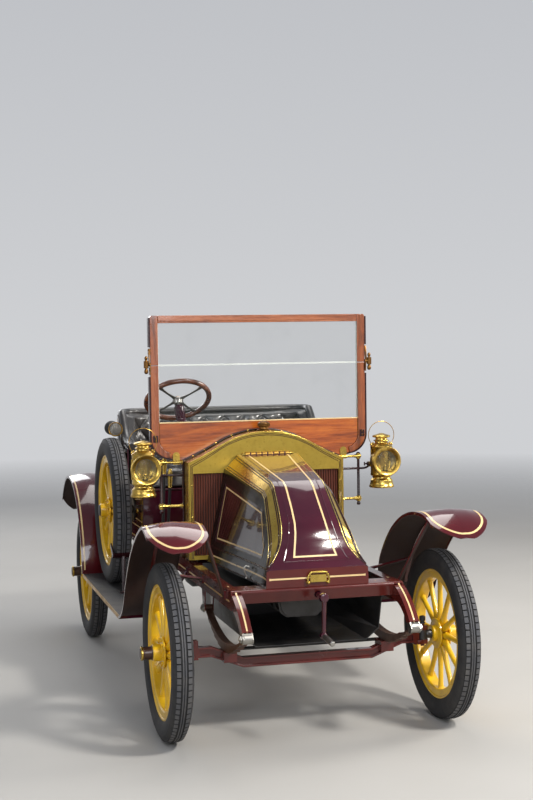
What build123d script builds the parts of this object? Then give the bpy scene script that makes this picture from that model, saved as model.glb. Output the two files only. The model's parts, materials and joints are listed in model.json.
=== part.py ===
from build123d import *
from math import cos, pi, radians, sin, sqrt
import os

# Brass era motor car, a light open two-seater. Sizes are in millimetres.
# The car faces -Y, its right-hand side is -X, and the ground is at z = 0.
# Every place below is measured from the front axle line; the finished pieces
# are then moved back by origin_y, so that the origin lies under the middle.

# Wheels and axles
wheelbase = 2120.0
track = 1150.0
tyre_radius = 350.0
tyre_width = 86.0
tread_width = 46.0
rim_radius = 262.0
rim_width = 52.0
felloe_depth = 34.0
spoke_count = 12
hub_flange_radius = 62.0
hub_flange_offset = 16.0
hub_flange_thickness = 8.0
hub_radius = 34.0
hub_inner_end = 42.0
hub_cap_radius = 28.0
hub_cap_seat = 60.0
hub_cap_end = 109.0
spindle_radius = 13.0
spindle_end = 65.0
running_clearance = 0.05
seat_gap = 0.3
drum_radius = 120.0
drum_width = 26.0

# Springs
spring_span = 672.0
spring_width = 30.0
leaf_thickness = 7.0
leaf_count = 5
leaf_step = 58.0
spring_eye_radius = 13.0
spring_pin_radius = 6.0
rear_seat_rise = 32.0

# Frame
rail_x = 333.0
rail_width = 40.0
rail_height = 72.0
rail_top = 600.0
rail_wall = 5.0
rail_front = -165.0
rail_rear = wheelbase + spring_span / 2 + 4
cross_member_width = 40.0
cross_member_ys = (630.0, 1400.0, 1780.0, rail_rear - cross_member_width / 2 - 2)
horn_eye_y = -spring_span / 2
horn_eye_z = 452.0
horn_eye_radius = 22.0
rack_hole_radius = 5.5
rack_hole_spacing = 300.0

crank_z = 571.0
crank_shaft_radius = 13.0

# Front axle and steering
kingpin_x = track / 2 - 80
kingpin_radius = 9.0
yoke_radius = 22.0
yoke_ear = 18.0
knuckle_height = 40.0
beam_centre_z = 290.0
beam_end_z = 340.0
beam_height = 40.0
beam_width = 36.0
beam_flange = 8.0
beam_web = 10.0
steering_arm_length = 130.0
tie_rod_z = 314.0
tie_rod_radius = 7.0
tie_rod_eye_radius = 15.0
tie_rod_eye_height = 16.0
tie_pin_radius = 7.0
open_pivot_clearance = 0.5

# Engine and drive line
engine_half = 118.0
engine_front = 60.0
engine_rear = 500.0
engine_base = 440.0
engine_top = 800.0
gearbox_half = 120.0
gearbox_front = 760.0
gearbox_rear = 1060.0
gearbox_base = 430.0
gearbox_height = 160.0
clutch_z = 475.0
clutch_radius = 55.0
shaft_z = 490.0
axle_nose = 160.0
silencer_x = 220.0
silencer_z = 455.0
silencer_radius = 60.0
silencer_front = 1100.0
silencer_rear = 1650.0
pipe_radius = 17.0

# Bonnet, its sections run from the radiator forward
tray_thickness = 3.0
bonnet_gap = 0.5
bonnet_base = rail_top + tray_thickness + bonnet_gap
bonnet_wall = 5.0
hinge_y = 590.0
hinge_z = 1069.0
hinge_rod_radius = 5.0
hinge_barrel_radius = 9.0
hinge_barrel_half = 100.0
bonnet_steps = 3
crease_round = 22.0
panel_recess = 2.0
band_thickness = 1.2
band_bead = 3.6
# station y, half width at the plinth, half width and height of the shoulder, half width and height of the top
bonnet_stations = (
    (597.0, 276.0, 194.0, 1010.0, 134.0, hinge_z),
    (104.0, 226.0, 145.0, 940.0, 104.0, 988.0),
    (-57.0, 214.0, 172.0, 790.0, 116.0, 843.0),
    (-108.0, 212.0, 190.0, 712.0, 139.0, 746.0),
    (-158.0, 210.0, 208.0, 668.0, 196.0, 674.0),
)

# Radiator behind the engine
radiator_y = 600.0
radiator_depth = 88.0
radiator_half = 355.0
radiator_base = 613.0
header_z = 991.0
post_width = 22.0
crown_z = 1169.0
crown_half = 210.0
crown_side_z = 1112.0
shoulder_mid_x = 284.0
shoulder_mid_z = 1073.0
shoulder_z = 1040.0
tube_pitch = 22.0
tube_groove = 9.0
filler_radius = 27.0
border_line = 2.5
border_depth = 1.2

# Dash and windscreen
dash_bead = 8.0
dash_base = 625.0
screen_y = 700.0
screen_depth = 30.0
screen_half = 495.0
screen_post = 35.0
screen_foot_x = 419.0
screen_foot_z = 1055.0
board_top = 1212.0
screen_joint_z = 1464.0
screen_top = 1684.0
screen_top_rail = 26.0
screen_gap = 0.6
glass_thickness = 5.0
fold_y = 697.0
fold_z = 1470.0
fold_pin_radius = 5.0
fold_plate = 4.0
knob_radius = 13.0
knob_length = 18.0

# Side lamps
lamp_x = 547.0
lamp_z = 1019.0
lamp_front = 553.0
lamp_axis_y = 632.0
lamp_bezel_radius = 62.5
lamp_body_radius = 50.0
lamp_base = 896.0
lamp_top = 1142.0
lamp_bail_radius = 57.0
lamp_bail_wire = 2.2
lamp_iron_y = 694.0
lamp_iron_x = 457.0

# Steering wheel and column
column_x = -262.0
wheel_hub_y = 1270.0
wheel_hub_z = 1289.0
column_tilt = 38.0
column_radius = 19.0
shaft_radius = 11.0
column_length = 880.0
steering_rim_radius = 152.0
steering_rim_tube = 13.0

# Body
floor_top = 616.0
floor_thickness = 16.0
floor_front = 800.0
floor_half = 350.0
seat_depth = 580.0
seat_front = 1120.0
seat_rear = seat_front + seat_depth
back_half = track / 2 - 67
back_thickness = 80.0
seat_half = back_half - 38
seat_box_top = 880.0
cushion_top = 985.0
cushion_half = back_half - back_thickness
back_top = 1235.0
arm_front = seat_front + 170
horn_z = 1150.0
locker_half = 380.0
locker_rear = wheelbase + 230
locker_top = 915.0

# Fenders and running boards
fender_inner = 450.0
rear_fender_inner = seat_half + 4
fender_outer = 690.0
fender_sheet = 4.0
fender_lip = 12.0
fender_crown = 14.0
crown_run = 200.0
board_z = 410.0
board_thickness = 16.0
board_inner = 480.0
board_outer = fender_outer - 5
board_front = 500.0
board_iron_ys = (640.0, seat_front, wheelbase - 600)
stay_z = rail_top - 25
rear_fender_radius = 480.0
rear_fender_centre_z = 380.0
rear_tip_y = wheelbase + 370
rear_tip_z = 632.0

# Spare wheel on the right-hand running board
spare_y = wheelbase - 765
clamp_angle = 30.0
clamp_thickness = 6.0

front_tip_y = horn_eye_y - horn_eye_radius
origin_y = (front_tip_y + rear_tip_y) / 2


def box_between(x0, x1, y0, y1, z0, z1):
    """Box given by its limits."""
    return Pos((x0 + x1) / 2, (y0 + y1) / 2, (z0 + z1) / 2) * Box(x1 - x0, y1 - y0, z1 - z0)


def rod(start, end, radius):
    """Round bar between two points."""
    axis = Vector(*end) - Vector(*start)
    return Plane(origin=start, z_dir=axis) * Pos(0, 0, axis.length / 2) * Cylinder(radius, axis.length)


def side_profile(curves, x0, x1):
    """Solid with an outline drawn in y and z, from x0 to x1."""
    return extrude(Plane.YZ.offset(x0) * make_face(curves), x1 - x0)


def front_profile(curves, y0, y1):
    """Solid with an outline drawn in x and z, from y0 to y1."""
    return extrude(Plane.XZ.offset(-y1) * make_face(curves), y1 - y0)


def spun(points, axis=Axis.X):
    """Solid turned from a closed polygon: (along, radius) about X, or (radius, height) about Z."""
    outline = make_face(Polyline(*points, close=True))
    if axis == Axis.Z:
        outline = Plane.XZ * outline
    return revolve(outline, axis)


def both_sides(shape):
    """A piece and its mirror image across the middle of the car."""
    return [shape, mirror(shape, about=Plane.YZ)]


def fuse(pieces):
    """One solid from touching pieces."""
    whole = pieces[0]
    for piece in pieces[1:]:
        whole += piece
    return whole


# Wheels

def tyre():
    """Beaded-edge tyre about the x axis."""
    shoulder = (rim_radius + tyre_radius) / 2
    half_rim, half_width, half_tread = rim_width / 2, tyre_width / 2, tread_width / 2
    return spun([
        (-half_rim, rim_radius), (-half_width, shoulder), (-half_tread, tyre_radius),
        (half_tread, tyre_radius), (half_width, shoulder), (half_rim, rim_radius),
    ])


def spoke():
    """Wooden spoke that stands along +Z, wedge shaped at the hub and oval above it."""
    wedge = (hub_flange_radius - 14) * 2 * sin(pi / spoke_count)
    stations = ((hub_flange_radius - 18, 26.0, wedge * 0.72), (110.0, 26.0, 24.0),
                (rim_radius - felloe_depth + 2, 20.0, 26.0))
    sections = []
    for height, thick, wide in stations:
        corner = min(thick, wide) * 0.3
        section = make_face(Polyline(
            (-thick / 2, -wide / 2 + corner), (-thick / 2, wide / 2 - corner), (0, wide / 2),
            (thick / 2, wide / 2 - corner), (thick / 2, -wide / 2 + corner), (0, -wide / 2), close=True))
        sections.append(Pos(0, 0, height) * section)
    return loft(sections, ruled=True)


def wheel(drum=False):
    """Artillery wheel about the x axis, hub cap towards +X, centred on the tyre."""
    half_rim = rim_width / 2
    inner = rim_radius - felloe_depth
    felloe = spun([(-half_rim, inner), (-half_rim, rim_radius), (half_rim, rim_radius), (half_rim, inner)])
    flange_face = hub_flange_offset + hub_flange_thickness
    bore = spindle_radius + running_clearance
    bore_end = spindle_end + 3
    hub = spun([
        (-hub_inner_end, bore), (-hub_inner_end, hub_radius), (-flange_face, hub_radius),
        (-flange_face, hub_flange_radius), (flange_face, hub_flange_radius), (flange_face, hub_radius),
        (hub_cap_seat, hub_radius), (hub_cap_seat, hub_cap_radius), (hub_cap_end - 3, hub_cap_radius),
        (hub_cap_end, hub_cap_radius - 5), (hub_cap_end, 0), (bore_end, 0), (bore_end, bore),
    ])
    pieces = [felloe, hub]
    for index in range(spoke_count):
        pieces.append(Rot(360 / spoke_count * index, 0, 0) * spoke())
    if drum:
        pieces.append(spun([
            (-flange_face - drum_width, drum_radius - 6), (-flange_face - drum_width, drum_radius),
            (-flange_face + 2, drum_radius), (-flange_face + 2, hub_radius - 4),
            (-flange_face - 6, hub_radius - 4), (-flange_face - 6, drum_radius - 6),
        ]))
    return fuse(pieces)


def wheel_at(shape, side, y, z=tyre_radius):
    """Puts a wheel or tyre on the left (side 1) or right (side -1)."""
    placed = shape if side > 0 else mirror(shape, about=Plane.YZ)
    return Pos(side * track / 2, y, z) * placed


# Frame

def chassis_frame():
    """Pressed channel side rails with cross members and curved front horns."""
    outer = rail_x + rail_width / 2
    inner = rail_x - rail_width / 2
    low = rail_top - rail_height
    rail = box_between(inner, outer, rail_front, rail_rear, low, rail_top)
    rail -= box_between(inner - 1, outer - rail_wall, rail_front - 1, rail_rear + 1,
                        low + rail_wall, rail_top - rail_wall)
    horn_low = low + 8
    horn = side_profile([
        Line((rail_front + 60, rail_top - 6), (rail_front - 10, rail_top - 10)),
        ThreePointArc((rail_front - 10, rail_top - 10), (-262, 545),
                      (horn_eye_y - horn_eye_radius, horn_eye_z)),
        ThreePointArc((horn_eye_y - horn_eye_radius, horn_eye_z), (horn_eye_y, horn_eye_z - horn_eye_radius),
                      (horn_eye_y + horn_eye_radius, horn_eye_z)),
        ThreePointArc((horn_eye_y + horn_eye_radius, horn_eye_z), (-262, 502), (rail_front + 10, horn_low)),
        Line((rail_front + 10, horn_low), (rail_front + 60, horn_low)),
        Line((rail_front + 60, horn_low), (rail_front + 60, rail_top - 6)),
    ], inner, outer)
    slot_half = spring_width / 2 + seat_gap
    horn -= rod((rail_x - slot_half, horn_eye_y, horn_eye_z), (rail_x + slot_half, horn_eye_y, horn_eye_z),
                horn_eye_radius + 2)
    pieces = [rail, horn]
    for eye_y in (spring_span / 2, wheelbase - spring_span / 2, wheelbase + spring_span / 2):
        cheek = [
            Line((eye_y - 30, low + 2), (eye_y + 30, low + 2)),
            Line((eye_y + 30, low + 2), (eye_y + 18, horn_eye_z + 10)),
            ThreePointArc((eye_y + 18, horn_eye_z + 10), (eye_y, horn_eye_z - 18),
                          (eye_y - 18, horn_eye_z + 10)),
            Line((eye_y - 18, horn_eye_z + 10), (eye_y - 30, low + 2)),
        ]
        pieces.append(side_profile(cheek, inner, rail_x - slot_half))
        pieces.append(side_profile(cheek, rail_x + slot_half, outer))
    for eye_y in (horn_eye_y, spring_span / 2, wheelbase - spring_span / 2, wheelbase + spring_span / 2):
        pieces.append(rod((inner + 1, eye_y, horn_eye_z), (outer - 1, eye_y, horn_eye_z), spring_pin_radius))
    side = fuse(pieces)
    members = []
    for y in cross_member_ys:
        half = cross_member_width / 2
        member = box_between(-outer + 2, outer - 2, y - half, y + half, low + 6, rail_top - 6)
        member -= box_between(-outer + 8, outer - 8, y - half - 1, y + half - rail_wall,
                              low + 6 + rail_wall, rail_top - 6 - rail_wall)
        members.append(member)
    frame = fuse(both_sides(side) + members)
    for x in (-rack_hole_spacing / 2, rack_hole_spacing / 2):
        rear = cross_member_ys[-1]
        frame -= rod((x, rear, rail_top - rail_height / 2), (x, rear + 40, rail_top - rail_height / 2),
                     rack_hole_radius)
    return [frame]


def front_apron():
    """Front tray between the horns, with its plate turned down."""
    half = rail_x + rail_width / 2 - 2
    tray = side_profile([
        Line((-60, rail_top + tray_thickness), (-156, rail_top + tray_thickness)),
        ThreePointArc((-156, rail_top + tray_thickness), (-163, rail_top), (-166, rail_top - 8)),
        Line((-166, rail_top - 8), (-142, 547)),
        Line((-142, 547), (-138, 547)),
        Line((-138, 547), (-161, rail_top)),
        Line((-161, rail_top), (-60, rail_top)),
        Line((-60, rail_top), (-60, rail_top + tray_thickness)),
    ], -half, half)
    for side in (1, -1):
        edge = side * (half + 1)
        corner = Polyline((edge, 592), (edge - side * 48, 540), (edge, 540), close=True)
        tray -= front_profile([corner], -170, -130)
        tray -= box_between(*sorted((side * (rail_x - rail_width / 2), edge)), -168, -50, 540, rail_top)
    tray -= rod((0, -180, crank_z), (0, -120, crank_z), crank_shaft_radius + 1)
    return [tray]


def leaf_spring(y_mid, seat_z):
    """Semi-elliptic leaf spring with stepped leaves and rolled eyes, seated at seat_z."""
    x0, x1 = rail_x - spring_width / 2, rail_x + spring_width / 2
    half = spring_span / 2
    stack = leaf_thickness * leaf_count
    camber = horn_eye_z - (seat_z + stack - leaf_thickness / 2)
    radius = (half * half + camber * camber) / (2 * camber)
    leaves = []
    for index in range(leaf_count):
        reach = half - leaf_step * index
        low = seat_z + stack - leaf_thickness * (index + 1)
        lift = radius - sqrt(radius * radius - reach * reach)
        leaves.append(side_profile([
            ThreePointArc((y_mid - reach, low + lift), (y_mid, low), (y_mid + reach, low + lift)),
            Line((y_mid + reach, low + lift), (y_mid + reach, low + lift + leaf_thickness)),
            ThreePointArc((y_mid + reach, low + lift + leaf_thickness), (y_mid, low + leaf_thickness),
                          (y_mid - reach, low + lift + leaf_thickness)),
            Line((y_mid - reach, low + lift + leaf_thickness), (y_mid - reach, low + lift)),
        ], x0, x1))
    spring = fuse(leaves)
    for end in (-1, 1):
        eye_y = y_mid + end * half
        spring += rod((x0, eye_y, horn_eye_z), (x1, eye_y, horn_eye_z), spring_eye_radius)
    for end in (-1, 1):
        eye_y = y_mid + end * half
        spring -= rod((x0 - 1, eye_y, horn_eye_z), (x1 + 1, eye_y, horn_eye_z),
                      spring_pin_radius + running_clearance)
    return spring


def front_axle():
    """Forged I-beam with a fork and kingpin at each end."""
    half_height = beam_height / 2
    yoke_back = kingpin_x - yoke_radius - 6
    wheel_z = tyre_radius
    fork_low = wheel_z - knuckle_height / 2 - yoke_ear
    fork_high = wheel_z + knuckle_height / 2 + yoke_ear

    def outline(inset, end_x):
        low, high = -half_height + inset, half_height - inset
        return Polyline((0, beam_centre_z + low), (270, beam_centre_z + low), (400, beam_end_z + low),
                        (end_x, beam_end_z + low), (end_x, beam_end_z + high), (400, beam_end_z + high),
                        (270, beam_centre_z + high), (0, beam_centre_z + high), close=True)

    half_width = beam_width / 2
    beam = front_profile([outline(0, yoke_back)], -half_width, half_width)
    web = beam_web / 2
    for y0, y1 in ((-half_width - 1, -web), (web, half_width + 1)):
        beam -= front_profile([outline(beam_flange, yoke_back - 20)], y0, y1)
    fork = box_between(yoke_back - 14, yoke_back + 8, -half_width, half_width, fork_low, fork_high)
    for z0 in (fork_low, fork_high - yoke_ear):
        fork += Pos(kingpin_x, 0, z0 + yoke_ear / 2) * Cylinder(yoke_radius, yoke_ear)
        fork += box_between(yoke_back, kingpin_x, -yoke_radius, yoke_radius, z0, z0 + yoke_ear)
    fork += Pos(kingpin_x, 0, wheel_z) * Cylinder(kingpin_radius, fork_high - fork_low + 20)
    pad = box_between(rail_x - 32, rail_x + 22, -40, 40, beam_centre_z + half_height - 12, front_seat_z())
    return [fuse(both_sides(beam + fork + pad))]


def front_seat_z():
    """Height of the spring seat on the front axle."""
    return beam_end_z


def knuckle(side):
    """Stub axle that turns on the kingpin, with its steering arm and ball pin."""
    wheel_z = tyre_radius
    height = knuckle_height - 2 * seat_gap
    boss = Pos(kingpin_x, 0, wheel_z) * Cylinder(yoke_radius - 2, height)
    shoulder_end = track / 2 - hub_inner_end - seat_gap
    stub = rod((kingpin_x + 12, 0, wheel_z), (shoulder_end, 0, wheel_z), 18)
    stub += rod((shoulder_end - 1, 0, wheel_z), (track / 2 + spindle_end, 0, wheel_z), spindle_radius)
    eye_top = tie_rod_z + tie_rod_eye_height / 2 + seat_gap
    arm = rod((kingpin_x, 14, wheel_z - 8), (kingpin_x, steering_arm_length - 4, eye_top + 8), 8)
    arm += Pos(kingpin_x, steering_arm_length, eye_top + 8) * Cylinder(tie_rod_eye_radius, 16)
    arm += rod((kingpin_x, steering_arm_length, eye_top + 2),
               (kingpin_x, steering_arm_length, eye_top - tie_rod_eye_height - 6), tie_pin_radius)
    piece = boss + stub + arm
    piece -= Pos(kingpin_x, 0, wheel_z) * Cylinder(kingpin_radius + running_clearance, 100)
    return piece if side > 0 else mirror(piece, about=Plane.YZ)


def tie_rod():
    """Cross rod between the two steering arms, with an eye at each end."""
    reach = kingpin_x - 4
    pieces = [rod((-reach, steering_arm_length, tie_rod_z), (reach, steering_arm_length, tie_rod_z),
                  tie_rod_radius)]
    for x in (-kingpin_x, kingpin_x):
        pieces.append(Pos(x, steering_arm_length, tie_rod_z) * Cylinder(tie_rod_eye_radius, tie_rod_eye_height))
    whole = fuse(pieces)
    for x, clearance in ((kingpin_x, running_clearance), (-kingpin_x, open_pivot_clearance)):
        whole -= Pos(x, steering_arm_length, tie_rod_z) * Cylinder(tie_pin_radius + clearance, 60)
    return whole


def rear_axle():
    """Live axle: tubes, differential casing and the shaft ends that carry the wheels."""
    casing = Pos(0, wheelbase, tyre_radius) * spun([
        (-95, 34), (-60, 92), (-30, 118), (30, 118), (60, 92), (95, 34), (95, 0), (-95, 0)])
    shoulder_end = track / 2 - hub_inner_end - seat_gap
    nose = rod((0, wheelbase - axle_nose, tyre_radius), (0, wheelbase - 100, tyre_radius), 38)
    pieces = [casing, nose]
    for side in (1, -1):
        pieces.append(rod((side * 80, wheelbase, tyre_radius),
                          (side * shoulder_end, wheelbase, tyre_radius), 26))
        pieces.append(rod((side * (shoulder_end - 1), wheelbase, tyre_radius),
                          (side * (track / 2 + spindle_end), wheelbase, tyre_radius), spindle_radius))
        pad_x = sorted((side * (rail_x - 32), side * (rail_x + 22)))
        pieces.append(box_between(*pad_x, wheelbase - 40, wheelbase + 40, tyre_radius, rear_seat_z()))
    return [fuse(pieces)]


def rear_seat_z():
    """Height of the spring seat on the rear axle."""
    return tyre_radius + rear_seat_rise


# Engine and drive line

def engine():
    """The engine as one plain block at its place."""
    return [box_between(-engine_half, engine_half, engine_front, engine_rear, engine_base, engine_top)]


def gearbox():
    """Gearbox casing on the frame's middle line with the propeller shaft behind it."""
    top = gearbox_base + gearbox_height
    casing = box_between(-gearbox_half, gearbox_half, gearbox_front, gearbox_rear, gearbox_base, top)
    casing = chamfer(casing.edges().filter_by(Axis.Y), 25)
    shaft = rod((0, gearbox_rear - 10, shaft_z), (0, wheelbase - axle_nose - 4, tyre_radius), 20)
    clutch = rod((0, engine_rear, clutch_z), (0, gearbox_front + 5, clutch_z), clutch_radius)
    web_half = rail_x + rail_width / 2 - rail_wall
    arm_y = (gearbox_front + gearbox_rear) / 2
    arms = box_between(-web_half, web_half, arm_y - 25, arm_y + 25, top - 50, top - 24)
    return [casing + shaft + clutch + arms]


def silencer():
    """Exhaust silencer under the floor with its pipes."""
    x, z = silencer_x, silencer_z
    port_y = engine_rear - 30
    low = rail_top - rail_height
    middle, rear = cross_member_ys[1], cross_member_ys[-1]
    whole = rod((x, silencer_front, z), (x, silencer_rear, z), silencer_radius)
    whole += rod((engine_half, port_y, z + 15), (engine_half + 24, port_y, z + 15), pipe_radius + 9)
    whole += rod((engine_half + 18, port_y + 4, z + 19), (x + 4, port_y + 182, z), pipe_radius)
    whole += rod((x, port_y + 170, z), (x, silencer_front + 10, z), pipe_radius + 1)
    whole += rod((x, silencer_rear - 10, z), (x, rear - 58, z), pipe_radius - 1)
    whole += box_between(x - 4, x + 4, middle - 8, middle + 8, z + silencer_radius - 10, low + 6)
    whole += box_between(x - 4, x + 4, rear - 76, rear - 60, z, low + 6)
    whole += box_between(x - 4, x + 4, rear - 76, rear + 2, low, low + 6)
    return [whole]


def undertray():
    """Open sheet tray under the engine."""
    low = rail_top - rail_height
    outer = Polyline((-300, low), (-285, 400), (-230, 356), (230, 356), (285, 400), (300, low),
                     (296, low), (281, 402), (228, 360), (-228, 360), (-281, 402), (-296, low), close=True)
    tray = front_profile([outer], -60, radiator_y)
    for side in (1, -1):
        edge = sorted((side * 296, side * 330))
        for y0, y1 in ((-60, spring_span / 2 - 40), (spring_span / 2 + 40, radiator_y)):
            tray += box_between(*edge, y0, y1, low - 4, low)
    return [tray]


# Radiator

def ogee(grow, base):
    """Front outline of the radiator, with its ogee top, grown by a margin."""
    half, mid = radiator_half + grow, shoulder_mid_x + grow * 0.5
    left_side = (-half, shoulder_z + grow)
    right_side = (half, shoulder_z + grow)
    left_crown, right_crown = (-crown_half, crown_side_z + grow), (crown_half, crown_side_z + grow)
    return [
        Line((-half, base), left_side),
        ThreePointArc(left_side, (-mid, shoulder_mid_z + grow), left_crown),
        ThreePointArc(left_crown, (0, crown_z + grow), right_crown),
        ThreePointArc(right_crown, (mid, shoulder_mid_z + grow), right_side),
        Line(right_side, (half, base)),
        Line((half, base), (-half, base)),
    ]


def radiator_shell():
    """Brass header tank, side posts and bottom tank, with the filler cap and the bonnet's hinge rod."""
    rear = radiator_y + radiator_depth
    shell = front_profile(ogee(0, radiator_base), radiator_y, rear)
    window = box_between(-radiator_half + post_width, radiator_half - post_width, radiator_y - 1, rear + 1,
                         radiator_base + 18, header_z)
    shell -= window
    for inset in (9, 16):
        groove = front_profile(ogee(-inset, radiator_base - 1), radiator_y - 1, radiator_y + border_depth)
        groove -= front_profile(ogee(-inset - border_line, radiator_base - 2), radiator_y - 2,
                                radiator_y + border_depth + 1)
        shell -= groove
    cap_y = radiator_y + radiator_depth / 2
    cap = Pos(0, cap_y, crown_z) * spun([
        (0, -12), (filler_radius, -12), (filler_radius, 3), (filler_radius - 9, 5), (filler_radius - 9, 10),
        (filler_radius, 12), (filler_radius, 19), (filler_radius - 6, 21), (0, 21)], Axis.Z)
    hinge = rod((-hinge_barrel_half - 14, hinge_y, hinge_z), (hinge_barrel_half + 14, hinge_y, hinge_z),
                hinge_rod_radius)
    for side in (1, -1):
        ear = sorted((side * (hinge_barrel_half + 3), side * (hinge_barrel_half + 13)))
        hinge += box_between(*ear, hinge_y, radiator_y + 2, hinge_z - 8, hinge_z + 8)
        hinge += rod((ear[0], hinge_y, hinge_z), (ear[1], hinge_y, hinge_z), hinge_barrel_radius - 1)
    return [shell + cap + hinge]


def radiator_tubes():
    """Core of upright tubes, ribbed front and back."""
    half = radiator_half - post_width
    count = int(2 * half / tube_pitch)
    step = 2 * half / count
    front, rear = radiator_y + 10, radiator_y + radiator_depth - 10
    points = []
    for index in range(count):
        x = -half + index * step
        points += [(x, front + tube_groove), (x + step * 0.3, front), (x + step * 0.7, front)]
    points.append((half, front + tube_groove))
    for index in reversed(range(count)):
        x = -half + index * step
        points += [(x + step, rear - tube_groove), (x + step * 0.7, rear), (x + step * 0.3, rear)]
    points.append((-half, rear - tube_groove))
    outline = make_face(Polyline(*points, close=True))
    return [extrude(Pos(0, 0, radiator_base + 18) * outline, header_z - radiator_base - 18)]


def dash_panel():
    """Dash board that closes the body behind the radiator."""
    front = radiator_y + radiator_depth
    panel = front_profile(ogee(dash_bead, dash_base), front, screen_y)
    sill = box_between(-rail_x - 20, rail_x + 20, front, screen_y, rail_top, dash_base)
    column_gap = box_between(column_x - 45, column_x + 45, front - 1, screen_y + 1,
                             rail_top - 1, dash_base + 30)
    return [panel + sill - column_gap]


# Windscreen

def windscreen_frame():
    """Wooden lower frame: two posts, the shaped board over the dash and the brass fold pins."""
    inner = screen_half - screen_post
    rear = screen_y + screen_depth
    foot_mid = (screen_half - 22, screen_foot_z + 28)
    corner = (radiator_half + dash_bead - 30, shoulder_z + dash_bead - 30)
    outline = [
        Line((-screen_half, screen_joint_z), (screen_half, screen_joint_z)),
        Line((screen_half, screen_joint_z), (screen_half, screen_foot_z + 82)),
        ThreePointArc((screen_half, screen_foot_z + 82), foot_mid, (screen_foot_x, screen_foot_z)),
        Line((screen_foot_x, screen_foot_z), corner),
        Line(corner, (-corner[0], corner[1])),
        Line((-corner[0], corner[1]), (-screen_foot_x, screen_foot_z)),
        ThreePointArc((-screen_foot_x, screen_foot_z), (-foot_mid[0], foot_mid[1]),
                      (-screen_half, screen_foot_z + 82)),
        Line((-screen_half, screen_foot_z + 82), (-screen_half, screen_joint_z)),
    ]
    frame = front_profile(outline, screen_y, rear)
    frame -= box_between(-inner, inner, screen_y - 1, rear + 1, board_top, screen_joint_z + 1)
    ears = []
    for side in (1, -1):
        plate = sorted((side * screen_half, side * (screen_half + fold_plate)))
        ear = box_between(*plate, fold_y - 6, rear - 6, fold_z - 46, fold_z - 12)
        ear += box_between(*plate, fold_y - 9, fold_y + 9, fold_z - 30, fold_z)
        ear += rod((plate[0], fold_y, fold_z), (plate[1], fold_y, fold_z), 9)
        pin_end = screen_half + 2 * fold_plate + knob_length
        ear += rod((side * screen_half, fold_y, fold_z), (side * pin_end, fold_y, fold_z), fold_pin_radius)
        knob = screen_half + 2 * fold_plate + 2
        ear += rod((side * knob, fold_y, fold_z), (side * (pin_end - 5), fold_y, fold_z), knob_radius)
        ear += rod((side * (pin_end - 6), fold_y, fold_z), (side * pin_end, fold_y, fold_z), knob_radius - 4)
        ears.append(ear)
    return [fuse([frame] + ears)]


def pane(low, high):
    """Glass between the posts, from one height to another."""
    inner = screen_half - screen_post
    mid = screen_y + screen_depth / 2
    return box_between(-inner, inner, mid - glass_thickness / 2, mid + glass_thickness / 2, low, high)


def windscreen_glass_lower():
    """Fixed lower pane, with a free upper edge."""
    return [pane(board_top, screen_joint_z)]


def windscreen_top_frame():
    """Upper frame that folds forward on the pins: two posts and the top rail."""
    low = screen_joint_z + screen_gap
    inner = screen_half - screen_post
    frame = box_between(-screen_half, screen_half, screen_y, screen_y + screen_depth, low, screen_top)
    frame -= box_between(-inner, inner, screen_y - 1, screen_y + screen_depth + 1, low - 1,
                         screen_top - screen_top_rail)
    arms = []
    for side in (1, -1):
        x0 = screen_half + fold_plate + seat_gap
        plate = sorted((side * x0, side * (x0 + fold_plate)))
        arm = side_profile([Polyline((fold_y - 8, fold_z), (fold_y + 8, fold_z),
                                     (screen_y + 20, fold_z + 40), (screen_y + 20, fold_z + 70),
                                     (screen_y, fold_z + 70), close=True)], *plate)
        arm += rod((plate[0], fold_y, fold_z), (plate[1], fold_y, fold_z), 9)
        arm -= rod((plate[0] - 1, fold_y, fold_z), (plate[1] + 1, fold_y, fold_z),
                   fold_pin_radius + running_clearance)
        base = sorted((side * (screen_half - 1), side * (x0 + 1)))
        arm += box_between(*base, screen_y + 1, screen_y + 19, fold_z + 42, fold_z + 69)
        arms.append(arm)
    return [fuse([frame] + arms)]


def windscreen_glass_upper():
    """Pane of the folding upper half, with a free lower edge."""
    return [pane(screen_joint_z + screen_gap, screen_top - screen_top_rail)]


# Lamps

def lamp_brackets():
    """Irons on the dash sides that carry the lamps."""
    pieces = []
    edge = radiator_half + dash_bead
    for side in (1, -1):
        x, y = side * lamp_iron_x, lamp_iron_y
        iron = rod((x, y, 820), (x, y, 1046), 6) + rod((x, y, 815), (x, y, 826), 9)
        for z in (843, 1036):
            iron += rod((side * edge, y, z), (x, y, z), 6)
            iron += rod((x - side * 16, y, z), (x + side * 9, y, z), 9)
        iron += rod((side * edge, y, 980), (x + side * 49, y, 980), 5.5)
        iron += rod((x + side * 45, y + 2, 978), (side * (lamp_x - 20), lamp_axis_y + 30, 1005), 6.5)
        pieces.append(iron - lamp_column(side))
    return pieces


def lamp_bodies():
    """Oil side lamps: flared font, drum, stepped chimney, lens bezel and bail."""
    lamps = []
    for side in (1, -1):
        x = side * lamp_x
        drum = rod((x, lamp_front, lamp_z), (x, lamp_axis_y, lamp_z), lamp_bezel_radius - 6)
        bezel = Plane(origin=(x, lamp_front, lamp_z), z_dir=(0, 1, 0)) * spun([
            (lamp_bezel_radius - 8, 0), (lamp_bezel_radius - 3, 0), (lamp_bezel_radius, 3),
            (lamp_bezel_radius, 13), (lamp_bezel_radius - 4, 16), (lamp_bezel_radius - 8, 16)], Axis.Z)
        drum -= rod((x, lamp_front - 1, lamp_z), (x, lamp_front + 10, lamp_z), lamp_bezel_radius - 8)
        bail = Pos(x, lamp_axis_y, lamp_top - 6) * Rot(90, 0, 0) * Torus(lamp_bail_radius, lamp_bail_wire)
        lamps.append(lamp_column(side) + drum + bezel + bail)
    return lamps


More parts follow.
